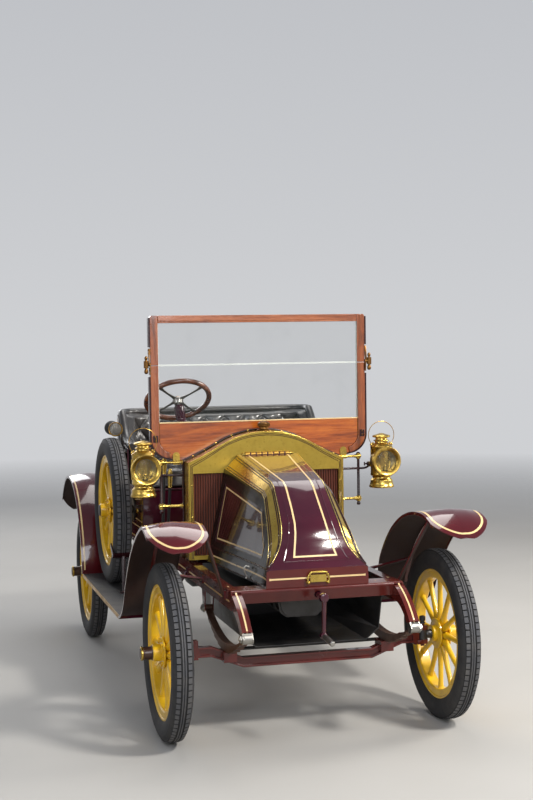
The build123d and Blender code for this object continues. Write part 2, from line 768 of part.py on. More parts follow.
def lamp_column(side):
    """Upright turned body of a lamp."""
    body = lamp_body_radius
    return Pos(side * lamp_x, lamp_axis_y, 0) * spun([
        (0, lamp_base), (body, lamp_base), (body + 2, lamp_base + 5), (body, lamp_base + 32),
        (body - 8, lamp_base + 40), (body - 8, lamp_base + 48), (body, lamp_base + 56), (body, 1080),
        (36, 1096), (28, 1099), (28, 1104), (35, 1108), (25, 1114), (25, 1120), (40, 1125), (40, 1131),
        (22, 1138), (10, lamp_top), (0, lamp_top)], Axis.Z)


def lamp_glasses():
    """Lens of each lamp."""
    return [rod((side * lamp_x, lamp_front + 3, lamp_z), (side * lamp_x, lamp_front + 10, lamp_z),
                lamp_bezel_radius - 8) for side in (1, -1)]


# Steering column and wheel

def column_point(distance):
    """Point on the column's axis, measured down from the wheel's hub."""
    return (column_x, wheel_hub_y - distance * sin(radians(column_tilt)),
            wheel_hub_z - distance * cos(radians(column_tilt)))


def steering_column():
    """Column tube with the steering box at its foot."""
    tube = rod(column_point(40), column_point(column_length), column_radius)
    foot = column_point(column_length + 30)
    box = Plane(origin=foot, z_dir=(0, sin(radians(column_tilt)), cos(radians(column_tilt)))) * Box(60, 70, 90)
    web = -rail_x - rail_width / 2 + rail_wall
    bracket = box_between(web, column_x - 20, foot[1] - 22, foot[1] + 22, foot[2] - 18, foot[2] + 18)
    column = tube + box + bracket
    column -= rod(column_point(30), column_point(column_length + 20), shaft_radius + running_clearance)
    return [column]


def steering_wheel():
    """Four-spoked wheel with a round wooden rim, on the shaft inside the column."""
    plane = Plane(origin=column_point(0), z_dir=(0, sin(radians(column_tilt)), cos(radians(column_tilt))))
    corner = steering_rim_tube * cos(pi / 8)
    side = steering_rim_tube * sin(pi / 8)
    ring = Plane.XZ * make_face(Polyline(*[(steering_rim_radius + a, b) for a, b in (
        (corner, side), (side, corner), (-side, corner), (-corner, side),
        (-corner, -side), (-side, -corner), (side, -corner), (corner, -side))], close=True))
    whole = revolve(ring, Axis.Z)
    whole += spun([(0, -27), (20, -27), (30, -14), (30, 0), (20, 4), (20, 12), (11, 17), (0, 17)], Axis.Z)
    reach = steering_rim_radius - 6
    arm = extrude(make_face(Polyline((18, -15), (60, -7), (reach - 26, -7), (reach, -14), (reach, 14),
                                     (reach - 26, 7), (60, 7), (18, 15), close=True)), 6)
    for index in range(4):
        whole += Rot(0, 0, 45 + 90 * index) * Pos(0, 0, -7) * arm
    whole += Pos(0, 0, -(column_length + 18) / 2) * Cylinder(shaft_radius, column_length + 18)
    return [plane * whole]


# Body

def floor_boards():
    """Flat floor and the sloping toe board, with a slot for the column."""
    low = floor_top - floor_thickness
    toe_y = screen_y + 4
    outline = Polyline((toe_y, 700), (toe_y, 720), (floor_front, floor_top), (seat_front, floor_top),
                       (seat_front, low), (floor_front - 8, low), close=True)
    board = side_profile([outline], -floor_half, floor_half)
    board -= rod(column_point(column_length - 300), column_point(column_length + 60), column_radius + 6)
    return [board]


def pedals():
    """Three pedals that stand out of the toe board."""
    floor = floor_boards()[0]
    plates = []
    for x in (-330, -205, -130):
        plate = rod((x, 750, 659), (x, 850, 720), 7) - floor
        plate += Plane(origin=(x, 850, 720), z_dir=(0, 1, 0.7)) * Box(52, 74, 10)
        plates.append(plate)
    return plates


def seat_box():
    """Boxed seat base with its curved body sides."""
    box = side_profile([
        Line((seat_front + 40, rail_top), (seat_rear + 40, rail_top)),
        Line((seat_rear + 40, rail_top), (seat_rear, seat_box_top)),
        Line((seat_rear, seat_box_top), (seat_front - 20, seat_box_top)),
        ThreePointArc((seat_front - 20, seat_box_top), (seat_front - 14, 740), (seat_front + 40, rail_top)),
    ], -seat_half, seat_half)
    return [box]


def seat_cushion():
    """Sprung seat cushion with its rear corners cut to the tub."""
    front, rear = seat_front - 10, seat_rear - back_thickness - 2
    low = seat_box_top + seat_gap
    cushion = side_profile([
        Line((front, low), (rear, low)),
        Line((rear, low), (rear, cushion_top - 20)),
        ThreePointArc((rear, cushion_top - 20), (seat_front + 200, cushion_top), (front, cushion_top - 30)),
        Line((front, cushion_top - 30), (front, low)),
    ], -cushion_half, cushion_half)
    for side in (1, -1):
        edge = side * (cushion_half + 1)
        corner = Polyline((edge, rear - 72), (edge, rear + 1), (edge - side * 73, rear + 1), close=True)
        corner = make_face(corner)
        cushion -= extrude(Pos(0, 0, seat_box_top) * corner, cushion_top - seat_box_top + 10)
    return [cushion]


def seat_back():
    """Padded tub of the seat, with arms that fall away to the front."""
    rear, outer = seat_rear, back_half
    inner, face = outer - back_thickness, rear - back_thickness
    bend, turn = (outer - 36, rear - 36), (inner - 20, face - 20)
    plan = [
        Line((outer, arm_front), (outer, rear - 120)),
        ThreePointArc((outer, rear - 120), bend, (outer - 120, rear)),
        Line((outer - 120, rear), (-outer + 120, rear)),
        ThreePointArc((-outer + 120, rear), (-bend[0], bend[1]), (-outer, rear - 120)),
        Line((-outer, rear - 120), (-outer, arm_front)),
        Line((-outer, arm_front), (-inner, arm_front)),
        Line((-inner, arm_front), (-inner, rear - 150)),
        ThreePointArc((-inner, rear - 150), (-turn[0], turn[1]), (-inner + 70, face)),
        Line((-inner + 70, face), (inner - 70, face)),
        ThreePointArc((inner - 70, face), turn, (inner, rear - 150)),
        Line((inner, rear - 150), (inner, arm_front)),
        Line((inner, arm_front), (outer, arm_front)),
    ]
    tub = extrude(Pos(0, 0, seat_box_top + seat_gap) * make_face(plan), back_top - seat_box_top)
    arm_cut = side_profile([
        Line((arm_front - 10, 1085), (arm_front + 60, 1090)),
        ThreePointArc((arm_front + 60, 1090), (arm_front + 170, 1125), (arm_front + 270, back_top - 4)),
        Line((arm_front + 270, back_top - 4), (arm_front + 270, back_top + 10)),
        Line((arm_front + 270, back_top + 10), (arm_front - 10, back_top + 10)),
        Line((arm_front - 10, back_top + 10), (arm_front - 10, 1085)),
    ], -outer - 10, outer + 10)
    return [tub - arm_cut]


def rear_locker():
    """Tail locker behind the seat, with a rounded lid line."""
    front = seat_rear + 45
    body = side_profile([
        Line((front, rail_top), (locker_rear - 30, rail_top)),
        ThreePointArc((locker_rear - 30, rail_top), (locker_rear, 700), (locker_rear - 40, locker_top - 60)),
        ThreePointArc((locker_rear - 40, locker_top - 60), (locker_rear - 70, locker_top - 16),
                      (locker_rear - 130, locker_top)),
        Line((locker_rear - 130, locker_top), (front - 40, locker_top)),
        Line((front - 40, locker_top), (front, rail_top)),
    ], -locker_half, locker_half)
    return [body]


# Fenders and running boards

def raised(point, rise):
    """A (y, z) point lifted by the crown's rise, which fades out down to the running board."""
    y, z = point
    return y, z + rise * min(1, max(0, (z - board_z) / crown_run))


def edge_outline(arcs, depth):
    """Outline of a strip of a depth below arcs of (y, z) points."""
    outline = [ThreePointArc(*arc) for arc in arcs]
    first, last = arcs[0][0], arcs[-1][2]
    outline.append(Line(last, (last[0], last[1] - depth)))
    for arc in reversed(arcs):
        outline.append(ThreePointArc(*[(y, z - depth) for y, z in reversed(arc)]))
    outline.append(Line((first[0], first[1] - depth), first))
    return outline


def crown_shares():
    """Shares of a fender's width at its sections, each with the rise of the crown there."""
    return [(step / 4, fender_crown * sin(pi * step / 4)) for step in range(5)]


def stay(points):
    """Bent iron from a foot on the rail's outer face, given as (y, z), to the points that follow."""
    y, z = points[0]
    outer = rail_x + rail_width / 2
    iron = box_between(outer, outer + 9, y - 16, y + 16, z - 16, z + 16)
    start = (outer + 7.5, y, z)
    for index, point in enumerate(points[1:]):
        iron += rod(start, point, 7 - 0.4 * index)
        start = point
    return iron


def underside(sheet, x, y):
    """Height of a sheet's lower face over a point."""
    probe = sheet & box_between(x - 1, x + 1, y - 1, y + 1, 300, 1000)
    return probe.bounding_box().min.Z


def front_fenders():
    """Flared and crowned front fenders, higher at the inner edge, with turned lips, round tips and stays."""
    inner_edge = (((-305, 775), (-215, 836), (-110, 864)), ((-110, 864), (170, 806), (400, 610)),
                  ((400, 610), (446, 500), (board_front, board_z)))
    outer_edge = (((-300, 770), (-222, 838), (-120, 866)), ((-120, 866), (130, 740), (330, 520)),
                  ((330, 520), (400, 445), (board_front, board_z)))
    sections = []
    for share, rise in crown_shares():
        arcs = [[raised([a + (b - a) * share for a, b in zip(inner, outer)], rise)
                 for inner, outer in zip(inner_arc, outer_arc)]
                for inner_arc, outer_arc in zip(inner_edge, outer_edge)]
        x = fender_inner + (fender_outer - fender_inner) * share
        sections.append(Plane.YZ.offset(x) * make_face(edge_outline(arcs, fender_sheet)))
    sheet = loft(sections, ruled=True)
    sheet += side_profile(edge_outline(inner_edge, fender_lip), fender_inner, fender_inner + fender_sheet)
    sheet += side_profile(edge_outline(outer_edge, fender_lip), fender_outer - fender_sheet, fender_outer)
    middle = (fender_inner + fender_outer) / 2
    low_x, high_x = fender_inner - 5, fender_outer + 5
    tip = make_face([
        Line((low_x, 600), (low_x, -200)),
        ThreePointArc((low_x, -200), (middle, -306), (high_x, -200)),
        Line((high_x, -200), (high_x, 600)),
        Line((high_x, 600), (low_x, 600)),
    ])
    sheet &= extrude(Pos(0, 0, 300) * tip, 700)
    stay_x = fender_inner + 8
    stay_front = stay([(-70, stay_z), (stay_x, -180, underside(sheet, stay_x, -180) - 4)])
    stay_rear = stay([(330, stay_z), (middle, 330, underside(sheet, middle, 330) - 5)])
    return both_sides(sheet + stay_front + stay_rear)


def rear_fenders():
    """Rear fenders that follow the wheel, crowned, with turned lips, round tails and their stays."""
    centre_y, centre_z = wheelbase, rear_fender_centre_z
    drop = board_z - centre_z

    def on_arc(radius, angle):
        return centre_y + radius * cos(radians(angle)), centre_z + radius * sin(radians(angle))

    def outline(rise, depth):
        """Band of a depth under the fender's line, raised by the crown."""
        bands = []
        for below in (0, depth):
            radius = rear_fender_radius - below
            foot = (centre_y - sqrt(radius ** 2 - drop ** 2), board_z)
            tail = (rear_tip_y - below * 0.7, rear_tip_z + rise - below * 0.7)
            hip = (rear_tip_y - 130 - below * 0.7, rear_tip_z + 150 + rise - below * 0.7)
            bands.append((foot, on_arc(radius + rise, 130), on_arc(radius + rise, 75), hip, tail))
        over, under = bands
        return [
            ThreePointArc(*over[:3]), ThreePointArc(*over[2:]), Line(over[4], under[4]),
            ThreePointArc(under[4], under[3], under[2]), ThreePointArc(under[2], under[1], under[0]),
            Line(under[0], over[0]),
        ]

    sections = []
    for share, rise in crown_shares():
        x = rear_fender_inner + (fender_outer - rear_fender_inner) * share
        sections.append(Plane.YZ.offset(x) * make_face(outline(rise, fender_sheet)))
    sheet = loft(sections, ruled=True)
    for x in (rear_fender_inner, fender_outer - fender_sheet):
        sheet += side_profile(outline(0, fender_lip), x, x + fender_sheet)
    middle = (rear_fender_inner + fender_outer) / 2
    low_x, high_x = rear_fender_inner - 10, fender_outer + 10
    front = centre_y - rear_fender_radius - 100
    plan = make_face([
        Line((low_x, front), (low_x, rear_tip_y - 100)),
        ThreePointArc((low_x, rear_tip_y - 100), (middle, rear_tip_y + 4), (high_x, rear_tip_y - 100)),
        Line((high_x, rear_tip_y - 100), (high_x, front)),
        Line((high_x, front), (low_x, front)),
    ])
    sheet &= extrude(Pos(0, 0, 300) * plan, 700)
    tail_y = rear_tip_y - 90
    stay_crest = stay([(centre_y, stay_z), (rail_x + 80, centre_y, stay_z + 17), (rail_x + 90, centre_y, 780),
                       (middle, centre_y, underside(sheet, middle, centre_y) - 5)])
    stay_tail = stay([(tail_y, stay_z), (middle, tail_y, underside(sheet, middle, tail_y) - 5)])
    return both_sides(sheet + stay_crest + stay_tail)


def running_boards():
    """Running boards on cross irons from the rails."""
    rear = wheelbase - sqrt(rear_fender_radius ** 2 - (board_z - rear_fender_centre_z) ** 2) - seat_gap
    low = board_z - board_thickness
    board = box_between(board_inner, board_outer, board_front + seat_gap, rear, low, board_z)
    irons = []
    iron_z = low - 4
    for y in board_iron_ys:
        irons.append(stay([(y, stay_z - 15), (board_inner - 18, y, iron_z)]))
        irons.append(rod((board_inner - 22, y, iron_z), (board_outer - 20, y, iron_z), 8))
    return both_sides(fuse([board] + irons))


# Fittings

def spare_bracket():
    """Stub on the body side that carries the spare wheel."""
    z = board_z + tyre_radius + seat_gap
    plate = rod((-seat_half, spare_y, z), (-seat_half - 8, spare_y, z), 60)
    stub = rod((-seat_half - 6, spare_y, z), (-track / 2 - spindle_end, spare_y, z), spindle_radius)
    stub += rod((-seat_half - 6, spare_y, z), (-track / 2 + hub_inner_end + seat_gap, spare_y, z), 20)
    half = tyre_width / 2 + seat_gap
    reach = tyre_radius + seat_gap
    saddle = box_between(-half - clamp_thickness, half + clamp_thickness, -12, 12, rim_radius + 12,
                         reach + clamp_thickness)
    saddle -= box_between(-half, half, -13, 13, rim_radius, reach)
    saddle = Pos(-track / 2, spare_y, z) * Rot(90 + clamp_angle, 0, 0) * saddle
    foot_y = spare_y - (reach + clamp_thickness + 3) * cos(radians(clamp_angle))
    foot_z = z - (reach + clamp_thickness + 3) * sin(radians(clamp_angle))
    saddle += rod((-track / 2, foot_y, foot_z), (-track / 2, foot_y, board_z), 8)
    saddle += rod((-track / 2, foot_y, board_z + 6), (-track / 2, foot_y, board_z), 22)
    return [plate + stub, saddle]


def hand_levers():
    """Brake and gear levers in their quadrant on the right-hand rail."""
    middle = seat_front - 90
    base = box_between(-rail_x - 76, -rail_x - 20, middle - 45, middle + 45, rail_top - 60, rail_top - 10)
    for x, reach, top in ((-rail_x - 40, middle - 100, 900), (-rail_x - 62, middle - 80, 960)):
        base += rod((x, middle, rail_top - 20), (x, reach, top), 7)
        base += rod((x, reach, top), (x, reach - 12, top + 90), 11)
    return [base]


def horn_trumpet():
    """Small brass trumpet with its mesh mouth, on an iron at the seat arm."""
    x, z = -back_half - 45, horn_z
    mouth = arm_front + 60
    iron_y = mouth + 50
    profile = make_face(Polyline((0, 4), (30, 4), (33, 0), (35, 2), (34, 9), (27, 16), (20, 29), (15, 48),
                                 (12, 95), (0, 95), close=True))
    trumpet = Pos(x, mouth, z) * revolve(profile, Axis.Y)
    iron = rod((-back_half - 7, iron_y, z - 100), (-back_half - 7, iron_y, z + 4), 5)
    iron += rod((-back_half - 5, iron_y, z), (x, iron_y, z), 5.5)
    iron += box_between(-back_half - 4, -back_half, iron_y - 12, iron_y + 12, z - 104, z - 70)
    return [trumpet + iron]


def horn_bulb():
    """Rubber bulb of the horn."""
    x = -back_half - 45
    profile = make_face(Polyline((0, 95), (12, 95), (15, 101), (27, 108), (34, 121), (35, 137), (29, 152),
                                 (17, 162), (0, 165), close=True))
    return [Pos(x, arm_front + 60, horn_z) * revolve(profile, Axis.Y)]


def starting_handle():
    """Crank that hangs in front of the apron."""
    shaft = rod((0, -110, crank_z), (0, -239, crank_z), crank_shaft_radius)
    shaft += rod((0, -226, crank_z), (0, -254, crank_z), 19)
    arm = rod((0, -239, crank_z), (0, -228, 420), 9)
    arm += rod((0, -216, 421), (0, -242, 419), 15)
    grip = rod((0, -228, 420), (0, -345, 411), 12)
    bracket = box_between(-30, 30, -130, -100, 552, rail_top)
    return [shaft + arm + grip + bracket]


# Bonnet

def between(before, start, end, after, share):
    """Station on a smooth curve between two stations, column by column."""
    return tuple(0.5 * (2 * b + (c - a) * share + (2 * a - 5 * b + 4 * c - d) * share ** 2
                        + (3 * b - a - 3 * c + d) * share ** 3)
                 for a, b, c, d in zip(before, start, end, after))


def bonnet_sections():
    """The bonnet's stations, with a rounded crease and smooth ones between them in front of it."""
    rear, crease = bonnet_stations[:2]
    front = bonnet_stations[1:]
    share = 1 - crease_round / (rear[0] - crease[0])
    stations = [rear, tuple(a + (b - a) * share for a, b in zip(rear, crease))]
    for index in range(len(front) - 1):
        before, after = front[max(index - 1, 0)], front[min(index + 2, len(front) - 1)]
        for step in range(bonnet_steps):
            share = step / bonnet_steps if index or step else 0.15
            stations.append(between(before, front[index], front[index + 1], after, share))
    stations.append(front[-1])
    return stations


def bonnet_section(station, inset, base):
    """Six-sided section of the bonnet at one station, drawn in the plane of that station."""
    y, base_half, side_half, side_z, top_half, top_z = station
    side_half, top_half, base_half = side_half - inset, top_half - inset * 0.7, base_half - inset
    side_z, top_z = side_z - inset * 0.5, top_z - inset
    outline = Polyline((-base_half, base), (-side_half, side_z), (-top_half, top_z), (top_half, top_z),
                       (side_half, side_z), (base_half, base), close=True)
    return Plane.XZ.offset(-y) * make_face(outline)


def bonnet_shell():
    """Coal-scuttle bonnet, a hollow shell that is open below and behind, with sunk side panels."""
    stations = bonnet_sections()
    outer = loft([bonnet_section(station, 0, bonnet_base) for station in stations], ruled=True)
    cuts = []
    for index, station in enumerate(stations[:-1]):
        shift = 1.0 if index == 0 else bonnet_wall
        moved = (station[0] + shift,) + station[1:]
        cuts.append(bonnet_section(moved, bonnet_wall, bonnet_base - 1))
    shell = outer - loft(cuts, ruled=True)
    sunk = [bonnet_section(station, panel_recess, bonnet_base - 1) for station in stations]
    skin = outer - loft(sunk, ruled=True)
    panel = Polyline((548, 700), (548, 950), (84, 884), (-34, 752), (-34, 700), close=True)
    shell -= skin & side_profile([panel], -300, 300)
    slot = box_between(-hinge_barrel_half - 18, hinge_barrel_half + 18, hinge_y - 12, hinge_y + 12,
                       hinge_z - 12, hinge_z + 12)
    shell -= slot
    barrel = rod((-hinge_barrel_half, hinge_y, hinge_z), (hinge_barrel_half, hinge_y, hinge_z),
                 hinge_barrel_radius)
    barrel += box_between(-hinge_barrel_half, hinge_barrel_half, hinge_y - 16, hinge_y,
                          hinge_z - 8, hinge_z - 2)
    barrel -= rod((-hinge_barrel_half - 1, hinge_y, hinge_z), (hinge_barrel_half + 1, hinge_y, hinge_z),
                  hinge_rod_radius + running_clearance)
    return [shell + barrel]


def band_section(station, inset):
    """Section of the brass band on the left chamfer, with a raised bead near each edge."""
    y, _, side_half, side_z, top_half, top_z = station
    run, climb = top_half - side_half, top_z - side_z
    length = sqrt(run * run + climb * climb)
    out_x, out_z = climb / length, -run / length
    points = []
    for share, rise in ((inset, 0.2), (1 - inset, 0.2), (1 - inset, 1), (0.93 - inset * 0.8, 1),
                        (0.89 - inset * 0.7, 3), (0.85 - inset * 0.6, 1), (0.15 + inset * 0.6, 1),
                        (0.11 + inset * 0.7, 3), (0.07 + inset * 0.8, 1), (inset, 1)):
        lift = rise * band_thickness if rise < 3 else band_bead
        points.append((side_half + run * share + out_x * lift, side_z + climb * share + out_z * lift))
    return Plane.XZ.offset(-y) * make_face(Polyline(*points, close=True))


def handle(start, end, reach, radius):
    """Bar that stands off a surface by the vector reach between its two feet."""
    start, end, reach = Vector(*start), Vector(*end), Vector(*reach)
    path = FilletPolyline(start, start + reach, end + reach, end, radius=reach.length * 0.45)
    return sweep(Plane(origin=path @ 0, z_dir=path % 0) * Circle(radius), path)


def bonnet_trim(shell):
    """Brass corner bands, the lifting handle on the plinth and a hook on each side."""
    stations = bonnet_sections()[:-2]
    sections = [band_section(station, 0.01) for station in stations[:-2]]
    sections += [band_section(station, inset) for station, inset in zip(stations[-2:], (0.05, 0.24))]
    front = bonnet_stations[-1][0]
    z = bonnet_base + 30
    pieces = [handle((-42, front, z), (42, front, z), (0, -20, 0), 5.5)]
    hook = handle((205, 73, z - 6), (205, 73, z + 26), (32, 0, 0), 3.5) - shell
    hook = max(hook.solids(), key=lambda solid: solid.bounding_box().max.X)
    return pieces + both_sides(loft(sections, ruled=True)) + both_sides(hook)


def main():
    os.makedirs("parts", exist_ok=True)
    front_wheel, rear_wheel, plain_tyre = wheel(), wheel(drum=True), tyre()
    spare_z = board_z + tyre_radius + seat_gap
    shell = bonnet_shell()
    nodes = {
        "chassis_frame": chassis_frame(), "front_apron": front_apron(),
        "front_springs": both_sides(leaf_spring(0, front_seat_z())),
        "rear_springs": both_sides(leaf_spring(wheelbase, rear_seat_z())),
        "front_axle": front_axle(), "rear_axle": rear_axle(), "engine": engine(), "gearbox": gearbox(),
        "silencer": silencer(), "undertray": undertray(), "radiator_tubes": radiator_tubes(),
        "radiator_shell": radiator_shell(), "dash_panel": dash_panel(),
        "windscreen_frame": windscreen_frame(), "windscreen_glass_lower": windscreen_glass_lower(),
        "windscreen_top_frame": windscreen_top_frame(), "windscreen_glass_upper": windscreen_glass_upper(),
        "lamp_brackets": lamp_brackets(), "side_lamps": lamp_bodies(), "lamp_glasses": lamp_glasses(),
        "steering_column": steering_column(), "steering_wheel": steering_wheel(),
        "floor_boards": floor_boards(), "pedals": pedals(), "seat_box": seat_box(),
        "seat_cushion": seat_cushion(), "seat_back": seat_back(), "rear_locker": rear_locker(),
        "front_fenders": front_fenders(), "rear_fenders": rear_fenders(), "running_boards": running_boards(),
        "spare_bracket": spare_bracket(), "hand_levers": hand_levers(), "horn_trumpet": horn_trumpet(),
        "horn_bulb": horn_bulb(), "starting_handle": starting_handle(),
        "bonnet_shell": shell, "bonnet_trim": bonnet_trim(shell[0]),
        "knuckle_left": [knuckle(1)], "knuckle_right": [knuckle(-1)], "tie_rod": [tie_rod()],
        "spare_wheel": [wheel_at(front_wheel, -1, spare_y, spare_z)],
        "spare_tyre": [wheel_at(plain_tyre, -1, spare_y, spare_z)],
    }
    for end, y, shape in (("front", 0, front_wheel), ("rear", wheelbase, rear_wheel)):
        for name, side in (("left", 1), ("right", -1)):
            nodes["wheel_" + end + "_" + name] = [wheel_at(shape, side, y)]
            nodes["tyre_" + end + "_" + name] = [wheel_at(plain_tyre, side, y)]
    for name, solids in nodes.items():
        whole = Compound(children=[Pos(0, -origin_y, 0) * solid for solid in solids])
        export_step(whole, "parts/" + name + ".step")


if __name__ == "__main__":
    main()
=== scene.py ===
import json
from math import atan2, cos, pi, radians, sin, sqrt

import bmesh
import bpy
from mathutils import Matrix, Vector
from mathutils.bvhtree import BVHTree

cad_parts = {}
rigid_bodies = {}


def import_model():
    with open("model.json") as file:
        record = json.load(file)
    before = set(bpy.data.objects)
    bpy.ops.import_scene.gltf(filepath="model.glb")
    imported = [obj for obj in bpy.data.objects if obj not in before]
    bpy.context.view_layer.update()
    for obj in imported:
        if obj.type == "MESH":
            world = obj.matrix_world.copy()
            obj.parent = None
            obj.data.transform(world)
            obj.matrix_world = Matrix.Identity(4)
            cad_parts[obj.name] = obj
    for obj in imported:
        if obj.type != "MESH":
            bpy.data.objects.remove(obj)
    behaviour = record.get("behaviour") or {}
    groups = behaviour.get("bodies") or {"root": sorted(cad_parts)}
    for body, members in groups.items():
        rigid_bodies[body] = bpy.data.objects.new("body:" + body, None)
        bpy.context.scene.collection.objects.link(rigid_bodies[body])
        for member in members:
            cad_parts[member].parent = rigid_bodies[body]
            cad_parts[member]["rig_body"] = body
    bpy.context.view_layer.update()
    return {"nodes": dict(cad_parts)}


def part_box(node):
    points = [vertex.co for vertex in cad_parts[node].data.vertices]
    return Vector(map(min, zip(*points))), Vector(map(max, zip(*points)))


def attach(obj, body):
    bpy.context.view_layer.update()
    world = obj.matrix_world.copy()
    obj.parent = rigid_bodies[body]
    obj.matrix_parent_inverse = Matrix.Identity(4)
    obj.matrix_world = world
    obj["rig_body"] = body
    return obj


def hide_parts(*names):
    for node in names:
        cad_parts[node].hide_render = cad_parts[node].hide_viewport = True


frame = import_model()
scene = bpy.context.scene

# Lengths are metres. Shapes are drawn with y counted from the front axle, and
# Shape.done() moves them back to where the frame has that axle.
axle_low, axle_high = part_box("wheel_front_left")
FRONT = (axle_low.y + axle_high.y) / 2
REAR = (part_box("tyre_rear_left")[0].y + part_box("tyre_rear_left")[1].y) / 2 - FRONT

# The car faces along -y, and its left side is at +x
UP, DOWN, AHEAD, BACK, LEFT = (0, 0, 1), (0, 0, -1), (0, -1, 0), (0, 1, 0), (1, 0, 0)
SIDES = (1, -1)


def turns(count):
    """Angles at even steps round a full circle."""
    return [2 * pi * step / count for step in range(count)]


def both_ways(points):
    """Flat points that go on with their mirror image, from the last one back to the first."""
    return points + [(-first, second) for first, second in reversed(points)]


def half_turn(count=10):
    """Angles at even steps from 0 to half a circle, both ends among them."""
    return [pi * step / count for step in range(count + 1)]


# Shader maths

class Field:
    """A shader socket that takes part in sums and products."""

    def __init__(self, paint, socket):
        self.paint = paint
        self.socket = socket

    def __add__(self, other):
        return self.paint.maths("ADD", self, other)

    __radd__ = __add__

    def __mul__(self, other):
        return self.paint.maths("MULTIPLY", self, other)

    __rmul__ = __mul__

    def __abs__(self):
        return self.paint.maths("ABSOLUTE", self)


class Paint:
    """One material, or the world, and the nodes that make its finish."""

    def __init__(self, name, kind="materials", shader="Principled BSDF", **sockets):
        self.material = getattr(bpy.data, kind).new(name)
        self.material.use_nodes = True
        self.nodes = self.material.node_tree.nodes
        self.links = self.material.node_tree.links
        self.shader = self.nodes[shader]
        self.set(**sockets)

    def feed(self, socket, value):
        if isinstance(value, Field):
            self.links.new(value.socket, socket)
        elif isinstance(value, tuple) and len(value) == 3 and socket.type == "RGBA":
            socket.default_value = value + (1.0,)
        else:
            socket.default_value = value

    def node(self, kind, settings=None, sockets=None, output=0):
        """Adds a node: its settings first, then its sockets' values or links."""
        made = self.nodes.new(kind)
        for key, value in (settings or {}).items():
            if key == "stops":
                ramp = made.color_ramp
                while len(ramp.elements) < len(value):
                    ramp.elements.new(0.5)
                for element, (position, colour) in zip(ramp.elements, value):
                    element.position = position
                    element.color = tuple(colour) + (1.0,)
            else:
                setattr(made, key, value)
        for key, value in (sockets or {}).items():
            self.feed(made.inputs[key], value)
        return Field(self, made.outputs[output])

    def set(self, **sockets):
        """Sets the shader's sockets; an underscore stands for a space in a socket's name."""
        for key, value in sockets.items():
            self.feed(self.shader.inputs[key.replace("_", " ")], value)
        return self

    def place(self, scale=(1, 1, 1), turn=(0, 0, 0)):
        where = self.node("ShaderNodeTexCoord", output="Object")
        return self.node("ShaderNodeMapping", {}, {"Vector": where, "Scale": scale, "Rotation": turn})

    def maths(self, operation, first, second=0.0):
        return self.node("ShaderNodeMath", {"operation": operation}, {0: first, 1: second})

    def noise(self, where, scale, detail=3.0, rough=0.5, distortion=0.0):
        return self.node("ShaderNodeTexNoise", {}, {"Vector": where, "Scale": scale, "Detail": detail,
                                                    "Roughness": rough, "Distortion": distortion})

    def ramp(self, value, *stops):
        return self.node("ShaderNodeValToRGB", {"stops": stops}, {"Fac": value})

    def clamp(self, value, low, high, to_low=0.0, to_high=1.0):
        """Maps low..high of a value to to_low..to_high, and no further."""
        return self.node("ShaderNodeMapRange", {}, {"Value": value, "From Min": low, "From Max": high,
                                                    "To Min": to_low, "To Max": to_high})

    def patches(self, where, scale, low, high, detail=6, rough=0.65):
        """Noise cut to soft-edged patches: 0 where it is below low, 1 where it is above high."""
        return self.clamp(self.noise(where, scale, detail, rough), low, high)

    def ribs(self, where, axis, count):
        """Even ribs across one axis, at count radians in a metre."""
        across = self.node("ShaderNodeSeparateXYZ", {}, {0: where}, axis)
        return abs(self.maths("SINE", across * count))

    def mix(self, first, second, share):
        return self.node("ShaderNodeMix", {"data_type": "RGBA"}, {0: share, 6: first, 7: second}, 2)

    def bump(self, height, strength, distance=0.001, under=None):
        sockets = {"Height": height, "Strength": strength, "Distance": distance}
        if under is not None:
            sockets["Normal"] = under
        self.set(Normal=self.node("ShaderNodeBump", {}, sockets))
        return self


def tone(red, green, blue):
    """Linear colour of a display colour given from 0 to 255."""
    return tuple(((value / 255 + 0.055) / 1.055) ** 2.4 if value > 10 else value / 3294.6
                 for value in (red, green, blue))


# Finishes

def coach_paint(name, deep, light, sheen=0.1, coat=0.85):
    """Hand-varnished coach paint with a slow drift of colour and a fine haze."""
    paint = Paint(name, Coat_Weight=coat, Coat_Roughness=0.03, Coat_IOR=1.45, Specular_IOR_Level=0.3)
    where = paint.place()
    drift = paint.patches(where, 2.2, 0.35, 0.7, 4, 0.55)
    haze = paint.noise(where, 26.0, 5, 0.6)
    grime = paint.patches(where, 9.0, 0.52, 0.78, rough=0.7)
    colour = paint.mix(deep, light, drift)
    paint.set(Base_Color=paint.mix(colour, tone(70, 52, 44), grime * 0.1),
              Roughness=sheen + haze * 0.1 + grime * 0.12)
    return paint.bump(paint.noise(where, 420.0, 2, 0.5), 0.015).material


def brass_finish(name, light, dark, gloss=0.16):
    """Polished brass with clouds of tarnish and fine rubbing marks."""
    paint = Paint(name, Metallic=1.0)
    where = paint.place()
    cloud = paint.patches(where, 7.0, 0.42, 0.72, rough=0.62)
    speck = paint.patches(where, 70.0, 0.58, 0.75, 4, 0.6)
    rub = paint.noise(paint.place((1, 40, 3), (0.3, 0.2, 0.5)), 60.0, 2, 0.5)
    paint.set(Base_Color=paint.mix(paint.mix(light, dark, cloud * 0.65), tone(96, 62, 26), speck * 0.35),
              Roughness=gloss + cloud * 0.16 + rub * 0.08)
    return paint.bump(rub, 0.02).material


